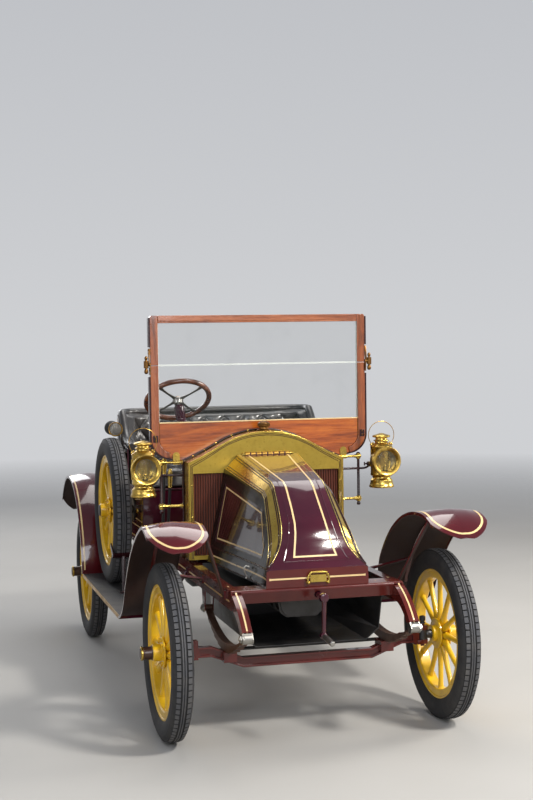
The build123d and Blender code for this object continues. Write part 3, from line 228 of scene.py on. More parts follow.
def wood_finish(name, grain_axis, light, middle, dark, gloss=0.22, ring=9.0, coat=0.8):
    """Varnished wood whose grain runs along one axis."""
    paint = Paint(name, Coat_Weight=coat, Coat_Roughness=0.06)
    stretch = [1.0, 1.0, 1.0]
    stretch[grain_axis] = 0.07
    along = paint.place(tuple(stretch))
    warp = paint.noise(along, 5.0, 3, 0.5, 0.6)
    figure = paint.noise(along, ring, 5, 0.62, 0.9)
    mottle = paint.noise(paint.place(tuple(sqrt(s) for s in stretch)), 55.0, 4, 0.6)
    streak = paint.noise(paint.place(tuple(0.25 * s for s in stretch)), 260.0, 3, 0.6)
    pores = paint.patches(along, 420.0, 0.6, 0.7, 2, 0.5)
    bands = abs(paint.maths("SINE", figure * 14.0 + warp * 5.0))
    colour = paint.ramp(bands * 0.2 + streak * 0.45 + mottle * 0.35, (0.34, dark), (0.51, middle),
                        (0.68, light))
    paint.set(Base_Color=paint.mix(colour, dark, pores * 0.55), Roughness=gloss + streak * 0.12)
    return paint.bump(pores * -1.0 + streak * 0.3, 0.05, 0.0006).material


def metal_finish(name, colour, dust, metallic, gloss, grain=180.0, depth=0.05, coat=0.0):
    """Painted or bare metal with a little dust and an uneven skin."""
    paint = Paint(name, Metallic=metallic, Coat_Weight=coat, Coat_Roughness=0.08)
    where = paint.place()
    patch = paint.patches(where, 11.0, 0.45, 0.78)
    fine = paint.noise(where, grain, 4, 0.6)
    paint.set(Base_Color=paint.mix(colour, dust, patch * 0.4), Roughness=gloss + patch * 0.18 + fine * 0.06)
    return paint.bump(fine, depth).material


def leather_finish(name):
    """Black hide with a fine pebble, creases and worn, paler crests."""
    paint = Paint(name, Coat_Weight=0.6, Coat_Roughness=0.16)
    where = paint.place()
    pebble = paint.node("ShaderNodeTexVoronoi", {"feature": "SMOOTH_F1"},
                        {"Vector": where, "Scale": 430.0, "Smoothness": 0.6})
    crease = paint.noise(where, 34.0, 6, 0.6, 0.8)
    wear = paint.patches(where, 8.0, 0.5, 0.75, 5, 0.6)
    paint.set(Base_Color=paint.mix(tone(24, 22, 22), tone(70, 62, 56), wear * 0.35 + crease * 0.08),
              Roughness=0.34 + crease * 0.16 + wear * 0.1)
    return paint.bump(pebble * 0.5 + crease * 0.9, 0.16).material


def rubber_finish(name, colour, dust, gloss=0.72):
    """Rubber with road dust in its pores."""
    paint = Paint(name)
    where = paint.place()
    patch = paint.patches(where, 14.0, 0.42, 0.72)
    fine = paint.noise(where, 240.0, 4, 0.6)
    paint.set(Base_Color=paint.mix(colour, dust, patch * 0.55), Roughness=gloss + fine * 0.12)
    return paint.bump(fine, 0.12).material


def wheel_paint_finish(name):
    """Yellow paint over ash spokes, with brush streaks and grime."""
    paint = Paint(name, Coat_Weight=0.5, Coat_Roughness=0.12)
    where = paint.place()
    patch = paint.patches(where, 9.0, 0.44, 0.76)
    streak = paint.noise(paint.place((1, 1, 0.2)), 130.0, 3, 0.55)
    speck = paint.patches(where, 150.0, 0.66, 0.74, 3, 0.6)
    colour = paint.mix(tone(232, 186, 22), tone(198, 148, 16), patch)
    paint.set(Base_Color=paint.mix(colour, tone(110, 78, 34), speck * 0.4), Roughness=0.3 + streak * 0.12)
    return paint.bump(streak, 0.05).material


def glass_finish(name, tint, share):
    """Clear pane that keeps its reflections."""
    paint = Paint(name, Base_Color=tint, Roughness=0.02)
    smear = paint.patches(paint.place(), 6.0, 0.5, 0.8, 5, 0.6)
    paint.set(Alpha=smear * 0.03 + share)
    return paint.material


MAROON = coach_paint("maroon coach paint", tone(52, 12, 28), tone(76, 20, 36))
DEEP_MAROON = coach_paint("deep maroon panel", tone(34, 8, 12), tone(54, 13, 17))
RED_MAROON = coach_paint("red maroon paint", tone(66, 13, 20), tone(94, 22, 26))
BROWN_MAROON = coach_paint("brown maroon paint", tone(70, 20, 18), tone(98, 32, 26), 0.16, 0.5)
BRASS = brass_finish("polished brass", tone(210, 180, 92), tone(150, 118, 46))
# A darker, duller copy of the brass for the radiator's front faces: painted shade
PLATE_BRASS_SHADED = brass_finish("rubbed brass plate", tone(184, 156, 70), tone(120, 98, 34), 0.28)
OLD_BRASS = brass_finish("handled brass", tone(176, 138, 66), tone(104, 72, 30), 0.24)
BEAD = coach_paint("dark maroon bead", tone(30, 6, 10), tone(46, 10, 14), 0.2, 0.4)
BLACK_PAINT = coach_paint("black coach paint", tone(9, 8, 9), tone(18, 15, 16), 0.16, 0.22)
# Paler gold for the raised edge beads on the bonnet bands: a painted highlight
PALE_GOLD_HIGHLIGHT = brass_finish("pale gold bead", tone(232, 208, 130), tone(190, 160, 84), 0.2)
BRONZE = brass_finish("dark brass", tone(120, 84, 44), tone(72, 46, 24), 0.26)
LAMP_BRASS = brass_finish("lamp brass", tone(204, 172, 88), tone(140, 106, 44), 0.2)
MIRROR = metal_finish("tarnished reflector", tone(206, 204, 190), tone(130, 122, 100), 1.0, 0.24, 60.0, 0.05)
STEEL_DARK = metal_finish("blued steel", tone(70, 66, 62), tone(46, 40, 36), 0.9, 0.34)
STRIPE = metal_finish("cream lining", tone(226, 196, 140), tone(190, 150, 96), 0.0, 0.35, 300.0, 0.02, 0.6)
BOARD_WOOD = wood_finish("orange board", 0, tone(182, 98, 26), tone(158, 76, 14), tone(114, 48, 8))
POST_WOOD = wood_finish("brown post", 2, tone(160, 90, 44), tone(138, 70, 30), tone(98, 48, 18))
RAIL_WOOD = wood_finish("pale brown rail", 0, tone(172, 104, 66), tone(150, 84, 48), tone(108, 56, 32))
FLOOR_WOOD = wood_finish("floor planks", 1, tone(140, 108, 76), tone(112, 82, 54), tone(70, 48, 30), 0.5, 6.0,
                         0.1)
RIM_WOOD = wood_finish("turned rim", 0, tone(138, 76, 38), tone(104, 52, 24), tone(64, 30, 14), 0.2, 14.0)
LEATHER = leather_finish("black hide")
TYRE = rubber_finish("tyre rubber", tone(34, 34, 36), tone(66, 62, 58))
TREAD = rubber_finish("worn tread", tone(70, 71, 75), tone(104, 99, 92), 0.62)
# Rubber darker than the tyre for the walls of the tread's grooves: painted shade in the grooves
GROOVE_SHADE = rubber_finish("tread groove", tone(20, 20, 21), tone(40, 38, 36))
# Dark brown for the fender undersides: dust, and painted shade under the fenders
UNDERSIDE_DUST_AND_SHADE = metal_finish("fender underside", tone(44, 24, 18), tone(70, 52, 40), 0.0, 0.6, 120.0, 0.06)
SPRING = metal_finish("spring leaves", tone(86, 62, 50), tone(60, 46, 38), 0.35, 0.42)
BLACK_RUBBER = rubber_finish("horn rubber", tone(22, 22, 23), tone(48, 46, 44), 0.5)
WHEEL = wheel_paint_finish("yellow wheel paint")
BLACK = metal_finish("black enamel", tone(22, 21, 22), tone(52, 46, 40), 0.0, 0.42, 200.0, 0.04, 0.2)
STEEL = metal_finish("oiled steel", tone(168, 166, 160), tone(104, 92, 78), 1.0, 0.28)
BRIGHT_STEEL = metal_finish("bright steel", tone(214, 210, 202), tone(150, 142, 130), 1.0, 0.22)
IRON = metal_finish("cast iron", tone(84, 82, 80), tone(58, 46, 38), 0.6, 0.55, 130.0, 0.35)
TUBES = metal_finish("radiator tubes", tone(104, 52, 36), tone(58, 32, 26), 0.4, 0.38, 220.0, 0.06)
CAP = metal_finish("hub cap paint", tone(58, 34, 24), tone(92, 66, 44), 0.2, 0.3, 200.0, 0.05, 0.4)
GLASS = glass_finish("clear pane", tone(60, 72, 70), 0.07)
LENS = glass_finish("lamp lens", tone(90, 94, 86), 0.14)
EDGE_GLASS = metal_finish("ground glass edge", tone(226, 232, 224), tone(196, 206, 200), 0.0, 0.2, 200.0,
                          0.02, 0.5)


def mesh_finish():
    """Grey woven wire, with near-black painted shade of the horn's throat in its gaps."""
    paint = Paint("wire mesh", Metallic=0.7, Roughness=0.4)
    where = paint.place()
    weave = paint.clamp(paint.ribs(where, "X", 900.0) * paint.ribs(where, "Z", 900.0), 0.25, 0.5)
    # The gaps between the wires are near-black: painted shade of the throat behind
    paint.set(Base_Color=paint.mix(tone(150, 148, 142), tone(18, 17, 16), weave))
    return paint.bump(weave * -1.0, 0.4).material


def board_top_finish():
    """Grey-black covering with fine ribs along the board."""
    paint = Paint("ribbed board covering")
    where = paint.place()
    rib = paint.ribs(where, "X", 420.0)
    dust = paint.patches(where, 12.0, 0.42, 0.72)
    paint.set(Base_Color=paint.mix(tone(34, 33, 34), tone(92, 84, 74), dust * 0.5), Roughness=rib * 0.12
              + 0.5)
    return paint.bump(rib, 0.5, 0.0012).material


MESH = mesh_finish()
BOARD_TOP = board_top_finish()


# Shapes

# Faces that meet at less than this are one flat face
FLAT = radians(0.6)


class Shape:
    """A mesh in the making. New faces get the finish whose index is in self.finish."""

    def __init__(self):
        self.bm = bmesh.new()
        self.finish = 0

    def settle(self, verts, matrix=None):
        """Moves new points to their place and gives their faces the finish in use."""
        if matrix is not None:
            bmesh.ops.transform(self.bm, matrix=matrix, verts=verts)
        for face in {face for vert in verts for face in vert.link_faces}:
            face.material_index = self.finish
        return verts

    def added(self, before):
        """Points that were not there before."""
        return [vert for vert in self.bm.verts if vert not in before]

    def close(self, before, matrix=None):
        """Closes poles and seams of what was added to the points before, and turns it outwards."""
        bmesh.ops.remove_doubles(self.bm, verts=self.added(before), dist=1e-6)
        verts = self.added(before)
        faces = list({face for vert in verts for face in vert.link_faces})
        bmesh.ops.recalc_face_normals(self.bm, faces=faces)
        return self.settle(verts, matrix)

    def box(self, low, high, matrix=None):
        low, high = Vector(low), Vector(high)
        place = Matrix.LocRotScale((low + high) / 2, None, high - low)
        return self.settle(bmesh.ops.create_cube(self.bm, size=1, matrix=place)["verts"], matrix)

    def rod(self, start, end, radius, tip=None, sides=20):
        """Round bar between two points, or a taper if tip gives its radius at the end."""
        start, end = Vector(start), Vector(end)
        place = Matrix.Translation((start + end) / 2) @ (end - start).to_track_quat("Z",
                                                                                    "Y").to_matrix().to_4x4()
        made = bmesh.ops.create_cone(self.bm, cap_ends=True, segments=sides, radius1=radius,
                                     radius2=radius if tip is None else tip, depth=(end - start).length,
                                     matrix=place)
        return self.settle(made["verts"])

    def ball(self, centre, radius, scale=(1, 1, 1), sides=24):
        place = Matrix.LocRotScale(Vector(centre), None, Vector(scale))
        made = bmesh.ops.create_uvsphere(self.bm, u_segments=sides, v_segments=sides // 2, radius=radius,
                                         matrix=place)
        return self.settle(made["verts"])

    def turned(self, profile, start, axis=UP, steps=48):
        """Spins (distance along the axis, radius) points about an axis through start."""
        before = set(self.bm.verts)
        verts = [self.bm.verts.new((radius, 0, along)) for along, radius in profile]
        edges = [self.bm.edges.new(pair) for pair in zip(verts, verts[1:])]
        bmesh.ops.spin(self.bm, geom=verts + edges, cent=(0, 0, 0), axis=UP, angle=2 * pi,
                       steps=steps, use_merge=True)
        turn = Vector(axis).to_track_quat("Z", "Y").to_matrix().to_4x4()
        return self.close(before, Matrix.Translation(start) @ turn)

    def skin(self, loops, ring=False, caps=True):
        """Joins closed loops of points, one after the other."""
        before = set(self.bm.verts)
        rows = [[self.bm.verts.new(point) for point in loop] for loop in loops]
        edges = [[self.bm.edges.new(pair) for pair in zip(row, row[1:] + row[:1])] for row in rows]
        pairs = list(zip(edges, edges[1:]))
        if ring:
            pairs.append((edges[-1], edges[0]))
        for first, second in pairs:
            bmesh.ops.bridge_loops(self.bm, edges=first + second)
        if caps and not ring:
            self.bm.faces.new(rows[0])
            self.bm.faces.new(rows[-1])
        return self.close(before)

    def tube(self, path, radius, sides=12, ring=False):
        """Round bar that follows the points of a path."""
        points = [Vector(point) for point in path]
        last = len(points) - 1
        side = None
        loops = []
        for index, point in enumerate(points):
            before = points[index - 1] if index or ring else point
            after = points[(index + 1) % len(points)] if index < last or ring else point
            along = (after - before).normalized()
            if side is None:
                side = along.orthogonal()
            side = (side - along * side.dot(along)).normalized()
            up = along.cross(side)
            loops.append([point + (side * cos(turn) + up * sin(turn)) * radius
                          for turn in turns(sides)])
        return self.skin(loops, ring)

    def plate(self, outline, depth):
        """Flat outline pushed out by the vector depth."""
        before = set(self.bm.verts)
        face = self.bm.faces.new([self.bm.verts.new(point) for point in outline])
        made = bmesh.ops.extrude_face_region(self.bm, geom=[face], use_keep_orig=True)["geom"]
        moved = [item for item in made if isinstance(item, bmesh.types.BMVert)]
        bmesh.ops.translate(self.bm, verts=moved, vec=depth)
        return self.close(before)

    def bar(self, path, across, thick):
        """Flat bar along a path: the vector across is its width, and thick its height over the path."""
        points = [Vector(point) for point in path]
        across = Vector(across)
        loops = []
        for index, point in enumerate(points):
            along = points[min(index + 1, len(points) - 1)] - points[max(index - 1, 0)]
            up = along.cross(across).normalized() * (thick / 2)
            half = across / 2
            loops.append([point - half - up, point + half - up, point + half + up, point - half + up])
        return self.skin(loops)

    def line(self, laid, width, lift=0.0005):
        """Painted line of a width, along (point, normal) pairs laid on a surface."""
        before, last = set(self.bm.verts), len(laid) - 1
        if last < 1:
            return
        rows = []
        for index, (point, normal) in enumerate(laid):
            along = (laid[min(index + 1, last)][0] - laid[max(index - 1, 0)][0]).normalized()
            if (laid[0][0] - laid[-1][0]).length < 1e-4 and index in (0, last):
                along = ((laid[1][0] - point).normalized() + (point - laid[-2][0]).normalized()).normalized()
            across = along.cross(normal).normalized()
            if 0 < index < last:
                since = (point - laid[index - 1][0]).normalized()
                after = (laid[index + 1][0] - point).normalized()
                along = (since + after).normalized()
                across = along.cross(normal).normalized() / max(0.5, along.dot(after))
            rows.append([self.bm.verts.new(point + across * side * width / 2 + normal * lift)
                         for side in (-1, 1)])
        for first, second in zip(rows, rows[1:]):
            face = self.bm.faces.new((first[0], first[1], second[1], second[0]))
            face.normal_update()
            if face.normal.dot(laid[rows.index(first)][1]) < 0:
                face.normal_flip()
        self.settle(self.added(before))

    def mirrored(self):
        """Adds the mirror image across the middle of the car."""
        made = bmesh.ops.duplicate(self.bm, geom=list(self.bm.verts) + list(self.bm.edges)
                                   + list(self.bm.faces))
        verts = [item for item in made["geom"] if isinstance(item, bmesh.types.BMVert)]
        faces = [item for item in made["geom"] if isinstance(item, bmesh.types.BMFace)]
        bmesh.ops.scale(self.bm, vec=(-1, 1, 1), verts=verts)
        bmesh.ops.reverse_faces(self.bm, faces=faces)

    def take(self, node, wanted):
        """Adds the faces of a CAD node whose middle is wanted."""
        part = cad_shape(node)
        unwanted = [face for face in part.bm.faces if not wanted(face.calc_center_median())]
        bmesh.ops.delete(part.bm, geom=unwanted, context="FACES")
        part.flatten()
        mesh = bpy.data.meshes.new(node)
        part.bm.to_mesh(mesh)
        part.bm.free()
        self.bm.from_mesh(mesh)
        bpy.data.meshes.remove(mesh)

    def flatten(self):
        """Joins the triangles of flat faces, up to where a finish ends."""
        bmesh.ops.dissolve_limit(self.bm, angle_limit=FLAT, verts=self.bm.verts, edges=self.bm.edges,
                                 delimit={"MATERIAL"})

    def finish_where(self, finish, wanted):
        """Gives a finish to the faces for which wanted(middle, normal) holds."""
        for face in self.bm.faces:
            if wanted(face.calc_center_median(), face.normal):
                face.material_index = finish

    def done(self, name, finishes, replaces=None, slot=None, body="chassis", bevel=0.0, sharp=32, segments=2):
        """Makes the object, puts it on its body and hides the node it stands for."""
        bmesh.ops.translate(self.bm, verts=self.bm.verts, vec=(0, FRONT, 0))
        mesh = bpy.data.meshes.new(name)
        self.bm.to_mesh(mesh)
        self.bm.free()
        for finish in finishes if isinstance(finishes, (list, tuple)) else [finishes]:
            mesh.materials.append(finish)
        mesh.polygons.foreach_set("use_smooth", [True] * len(mesh.polygons))
        mesh.set_sharp_from_angle(angle=radians(sharp))
        made = bpy.data.objects.new(name, mesh)
        scene.collection.objects.link(made)
        if bevel:
            edge = made.modifiers.new("edge", "BEVEL")
            edge.width = bevel
            edge.segments = segments
            edge.limit_method = "ANGLE"
            edge.angle_limit = radians(sharp)
            edge.harden_normals = True
        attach(made, body)
        if replaces:
            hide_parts(replaces)
        return made


def cad_shape(node):
    """A shape that starts from a merged copy of a CAD node."""
    shape = Shape()
    shape.bm.from_mesh(frame["nodes"][node].data)
    bmesh.ops.translate(shape.bm, verts=shape.bm.verts, vec=(0, -FRONT, 0))
    bmesh.ops.remove_doubles(shape.bm, verts=shape.bm.verts, dist=1e-5)
    for face in shape.bm.faces:
        face.material_index = 0
    return shape


def soften(node, finish, bevel=0.001, slot=None, name=None):
    """Shows a CAD node with its small edges broken."""
    shape = cad_shape(node)
    shape.flatten()
    shape.done(name or node + "_finished", finish, node, slot, frame["nodes"][node]["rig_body"], bevel)


def paint_node(node, finish):
    """Gives a CAD node that stays as it is its finish."""
    materials = frame["nodes"][node].data.materials
    materials.clear()
    materials.append(finish)


# Nodes whose shape stays: finish and width of their broken edges
KEPT_SHAPES = {
    "front_apron": (BROWN_MAROON, 0.0015), "front_springs": (SPRING, 0.0008), "rear_springs": (BLACK, 0.0008),
    "front_axle": (BROWN_MAROON, 0.0015), "rear_axle": (BLACK, 0.001), "gearbox": (IRON, 0.002),
    "silencer": (BLACK, 0.001), "knuckle_left": (BLACK, 0.0008),
    "knuckle_right": (BLACK, 0.0008), "tie_rod": (BLACK, 0.0006),
}


# Lines laid on a surface

def arc(first, middle, last, steps=12):
    """Points of the circular arc through three points."""
    start, through, end = Vector(first), Vector(middle), Vector(last)
    one, two = through - start, end - start
    normal = one.cross(two)
    centre = start + (normal.cross(one) * two.length_squared + two.cross(normal) * one.length_squared) / (
        2 * normal.length_squared)
    out = start - centre
    side = normal.normalized().cross(out)
    sweep = atan2((end - centre).dot(side), (end - centre).dot(out)) % (2 * pi)
    return [centre + out * cos(sweep * step / steps) + side * sin(sweep * step / steps)
            for step in range(steps + 1)]


def other_side(points):
    """The mirror image of a path, from its end back to its start."""
    return [Vector((-point.x, point.y, point.z)) for point in reversed(points)]


def between(a, b, c, d, share):
    """What lies at a share of the way from b to c, on a smooth curve that comes from a and goes on to d."""
    return (b * 2 + (c - a) * share + (a * 2 - b * 5 + c * 4 - d) * share ** 2
            + (b * 3 - a - c * 3 + d) * share ** 3) * 0.5


def smooth_path(points, steps=6):
    """Points of a smooth curve through the given ones."""
    points = [Vector(point) for point in points]
    points = [points[0] * 2 - points[1]] + points + [points[-1] * 2 - points[-2]]
    path = []
    for four in zip(points, points[1:], points[2:], points[3:]):
        path += [between(*four, step / steps) for step in range(steps)]
    return path + [points[-2]]


class Surface:
    """The outside of a CAD node, to lay lines and small pieces on."""

    def __init__(self, node):
        bm = cad_shape(node).bm
        self.tree = BVHTree.FromBMesh(bm)
        bm.free()

    def lay(self, path, direction, spacing=0.012, back=0.15):
        """Points of a path pushed along a direction on to the surface, each with its normal."""
        direction = Vector(direction).normalized()
        points = [Vector(point) for point in path]
        starts = []
        for first, last in zip(points, points[1:]):
            count = max(1, round((last - first).length / spacing))
            starts += [first.lerp(last, step / count) for step in range(count)]
        found = []
        for start in starts + points[-1:]:
            place, normal = self.tree.ray_cast(start - direction * back, direction)[:2]
            if place is not None:
                found.append((place, normal if normal.dot(direction) < 0 else -normal))
        return found


# Wheels and tyres

def tyre_piece(node, body):
    """Beaded tyre: two plain middle ribs and a row of bricks on each shoulder."""
    low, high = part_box(node)
    centre = (low + high) / 2 - Vector((0, FRONT, 0))
    shape = Shape()
    half = [(0.0015, 0.3465), (0.0022, 0.3495), (0.007, 0.3495), (0.0078, 0.3462), (0.0108, 0.3458),
            (0.0302, 0.3405), (0.0335, 0.3375), (0.0385, 0.329), (0.0405, 0.3235), (0.0412, 0.3215),
            (0.041, 0.319), (0.0425, 0.312), (0.0428, 0.302), (0.0405, 0.286), (0.037, 0.274),
            (0.03, 0.2665), (0.027, 0.264)]
    shape.turned(both_ways([(-x, r) for x, r in reversed(half)]), centre, LEFT, 84)
    lane = []
    for face in shape.bm.faces:
        away = face.calc_center_median() - centre
        reach = sqrt(away.y ** 2 + away.z ** 2)
        if 0.011 < abs(away.x) < 0.03 and reach > 0.335:
            lane.append(face)
        face.material_index = 1 if reach > 0.3485 else 0
    for face in lane:
        face.material_index = 2
    walls = bmesh.ops.inset_individual(shape.bm, faces=lane, thickness=0.0024, depth=0.0042,
                                       use_even_offset=True)
    # The walls round the raised bricks take the darker groove rubber, as painted shade between the bricks
    for face in walls["faces"]:
        face.material_index = 2
    for face in lane:
        face.material_index = 1
    shape.done(node + "_tread", [TYRE, TREAD, GROOVE_SHADE], node, "tyre_rubber", body)


def wheel_piece(node, body, side, drum=False):
    """Artillery wheel: felloe in its clincher rim, wedged oval spokes, bolted hub flanges, brown hub cap."""
    low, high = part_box(node)
    centre = Vector(((low.x + high.x) / 2, (low.y + high.y) / 2 - FRONT, (low.z + high.z) / 2))
    tyre_low, tyre_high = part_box(node.replace("wheel", "tyre") if "spare" not in node else "spare_tyre")
    centre.x = (tyre_low.x + tyre_high.x) / 2
    axis = Vector((side, 0, 0))
    shape = Shape()
    felloe = [(0.02, 0.2282), (0.0245, 0.2325), (0.0245, 0.255), (0.0268, 0.257), (0.0288, 0.259),
              (0.029, 0.265), (0.0275, 0.2665), (0.026, 0.264), (0.0225, 0.2612)]
    shape.turned([(-0.02, 0.2282)] + both_ways(felloe), centre, axis, 96)
    # distance from the hub, half thickness, half width
    stations = ((0.044, 0.0145, 0.0115), (0.06, 0.0145, 0.0152), (0.072, 0.0135, 0.014),
                (0.095, 0.012, 0.0118), (0.15, 0.0105, 0.0112), (0.205, 0.01, 0.0122),
                (0.222, 0.011, 0.0142), (0.2295, 0.0125, 0.0162))
    for index, turn in enumerate(turns(12)):
        out = Vector((0, sin(turn), cos(turn)))
        across = axis.cross(out)
        shape.skin([[centre + out * reach + axis * (thick * cos(angle)) + across * (wide * sin(angle))
                     for angle in turns(14)]
                    for reach, thick, wide in stations])
        bolt = Vector((0, sin(turn + pi / 12), cos(turn + pi / 12)))
        for radius, low_end, high_end, size in ((0.05, 0.023, 0.0305, 0.0062),
                                                (0.245, -0.026, -0.0285, 0.0035)):
            if radius < 0.1 or index % 2:
                shape.turned([(low_end, size), (high_end * 0.97, size), (high_end, size * 0.75),
                              (high_end, 0)], centre + bolt * radius, axis, 6)
    shape.turned([(-0.0415, 0.014), (-0.0415, 0.03), (-0.04, 0.0335), (-0.026, 0.0345), (-0.0245, 0.038),
                  (-0.024, 0.0595), (-0.022, 0.062), (-0.017, 0.062), (-0.016, 0.06), (-0.016, 0.04),
                  (0.016, 0.04), (0.016, 0.06), (0.017, 0.062), (0.022, 0.062), (0.024, 0.0595),
                  (0.0245, 0.0385), (0.027, 0.035), (0.056, 0.033), (0.06, 0.03), (0.06, 0.02)],
                 centre, axis, 48)
    if "spare" in node:
        shape.finish = 4
        shape.turned([(0.056, 0.03), (0.064, 0.029), (0.066, 0.024), (0.066, 0)], centre, axis, 6)
    else:
        shape.finish = 1
        shape.turned([(0.0585, 0.01), (0.0585, 0.0285), (0.0625, 0.029), (0.064, 0.0262), (0.094, 0.0248),
                      (0.096, 0.0262), (0.098, 0.0262), (0.098, 0.01)], centre, axis, 48)
        shape.turned([(0.106, 0.018), (0.106, 0.0225), (0.1085, 0.02), (0.109, 0.01), (0.109, 0.0)],
                     centre, axis, 48)
        shape.finish = 2
        shape.turned([(0.098, 0.01), (0.098, 0.027), (0.099, 0.028), (0.104, 0.028), (0.106, 0.0262),
                      (0.1062, 0.022), (0.1062, 0.018)], centre, axis, 48)
        shape.finish = 3
        shape.rod(centre + Vector((0, 0, 0.229)), centre + Vector((0, 0, 0.196)), 0.0045, 0.004, 12)
        shape.rod(centre + Vector((0, 0, 0.2285)), centre + Vector((0, 0, 0.224)), 0.0085, sides=6)
        if drum:
            shape.finish = 4
            shape.turned([(-0.016, 0.055), (-0.0225, 0.113), (-0.024, 0.119), (-0.027, 0.12),
                          (-0.046, 0.12), (-0.047, 0.1225), (-0.05, 0.1225), (-0.05, 0.114),
                          (-0.029, 0.113), (-0.028, 0.034)], centre, axis, 64)
    shape.done(node + "_wood", [WHEEL, CAP, BRASS, OLD_BRASS, BLACK], node, "wheel_paint", body, bevel=0.0006,
               segments=1)


# Bonnet

# Stations from the dash to the barrel: distance from the front axle, half width at the plinth,
# half width and height of the shoulder, half width and height of the top
BONNET = ((0.597, 0.276, 0.194, 1.01, 0.134, 1.069), (0.104, 0.226, 0.145, 0.94, 0.104, 0.988),
          (-0.057, 0.214, 0.172, 0.79, 0.116, 0.843), (-0.108, 0.212, 0.19, 0.712, 0.139, 0.746),
          (-0.158, 0.21, 0.208, 0.668, 0.196, 0.674))
SIDE_PANEL = ((0.548, 0.7), (0.548, 0.95), (0.084, 0.884), (-0.034, 0.752), (-0.034, 0.7))


def inside(outline, first, second):
    """Whether a flat point is inside an outline."""
    crossings = 0
    for (a, b), (c, d) in zip(outline, outline[1:] + outline[:1]):
        if (b > second) != (d > second) and first < a + (second - b) / (d - b) * (c - a):
            crossings += 1
    return crossings % 2 == 1


def bonnet_rows(halves=(0, 0, 0, 0, 0)):
    """The bonnet's stations as the CAD has them, each with a further half width: straight to the crease,
    then three smooth steps from one station to the next."""
    stations = [station + (half,) for station, half in zip(BONNET, halves)]
    rear, crease = stations[:2]
    round_off = 1 - 0.022 / (rear[0] - crease[0])
    rows = [rear, tuple(a + (b - a) * round_off for a, b in zip(rear, crease))]
    front = stations[1:2] + stations[1:] + stations[-1:]
    for index, four in enumerate(zip(front, front[1:], front[2:], front[3:])):
        for step in range(3):
            share = step / 3 if index or step else 0.15
            rows.append(tuple(between(*column, share) for column in zip(*four)))
    return rows + [stations[-1]]


def run_down(points, rear, front):
    """Points of a line down the bonnet, closely spaced and cut off at both ends."""
    path = []
    for first, last in zip(points, points[1:]):
        count = max(6, round((last - first).length / 0.015))
        path += [first.lerp(last, step / count) for step in range(count)]
    path.append(points[-1])
    return [point for point in path if front <= point.y <= rear]


def corner_path(share, rear, front):
    """Path along the left chamfer of the bonnet, at a share of its width from the shoulder."""
    rows = [Vector((side_half, y, side_z)).lerp(Vector((top_half, y, top_z)), share)
            for y, _, side_half, side_z, top_half, top_z, _ in bonnet_rows()]
    return run_down(rows, rear, front)


def lid_loop(halves, front):
    """Points and normals down the left of the lid, across its foot and up the right."""
    edge = run_down([Vector((row[6], row[0], row[5])) for row in bonnet_rows(halves)], 0.572, front)
    laid = []
    for index, point in enumerate(edge):
        along = edge[min(index + 1, len(edge) - 1)] - edge[max(index - 1, 0)]
        laid.append((point, Vector((0, along.z, -along.y)).normalized()))
    return laid + [(Vector((-point.x, point.y, point.z)), normal) for point, normal in reversed(laid)]


# Share of the band's width, radius and finish of each line of beading along it; the pale gold of the two edge
# beads is a painted highlight
BAND_BEADS = ((0.02, 0.0018, 2), (0.98, 0.0018, 2), (0.09, 0.0026, 3), (0.22, 0.0024, 3), (0.78, 0.0024, 3),
              (0.91, 0.0026, 3))


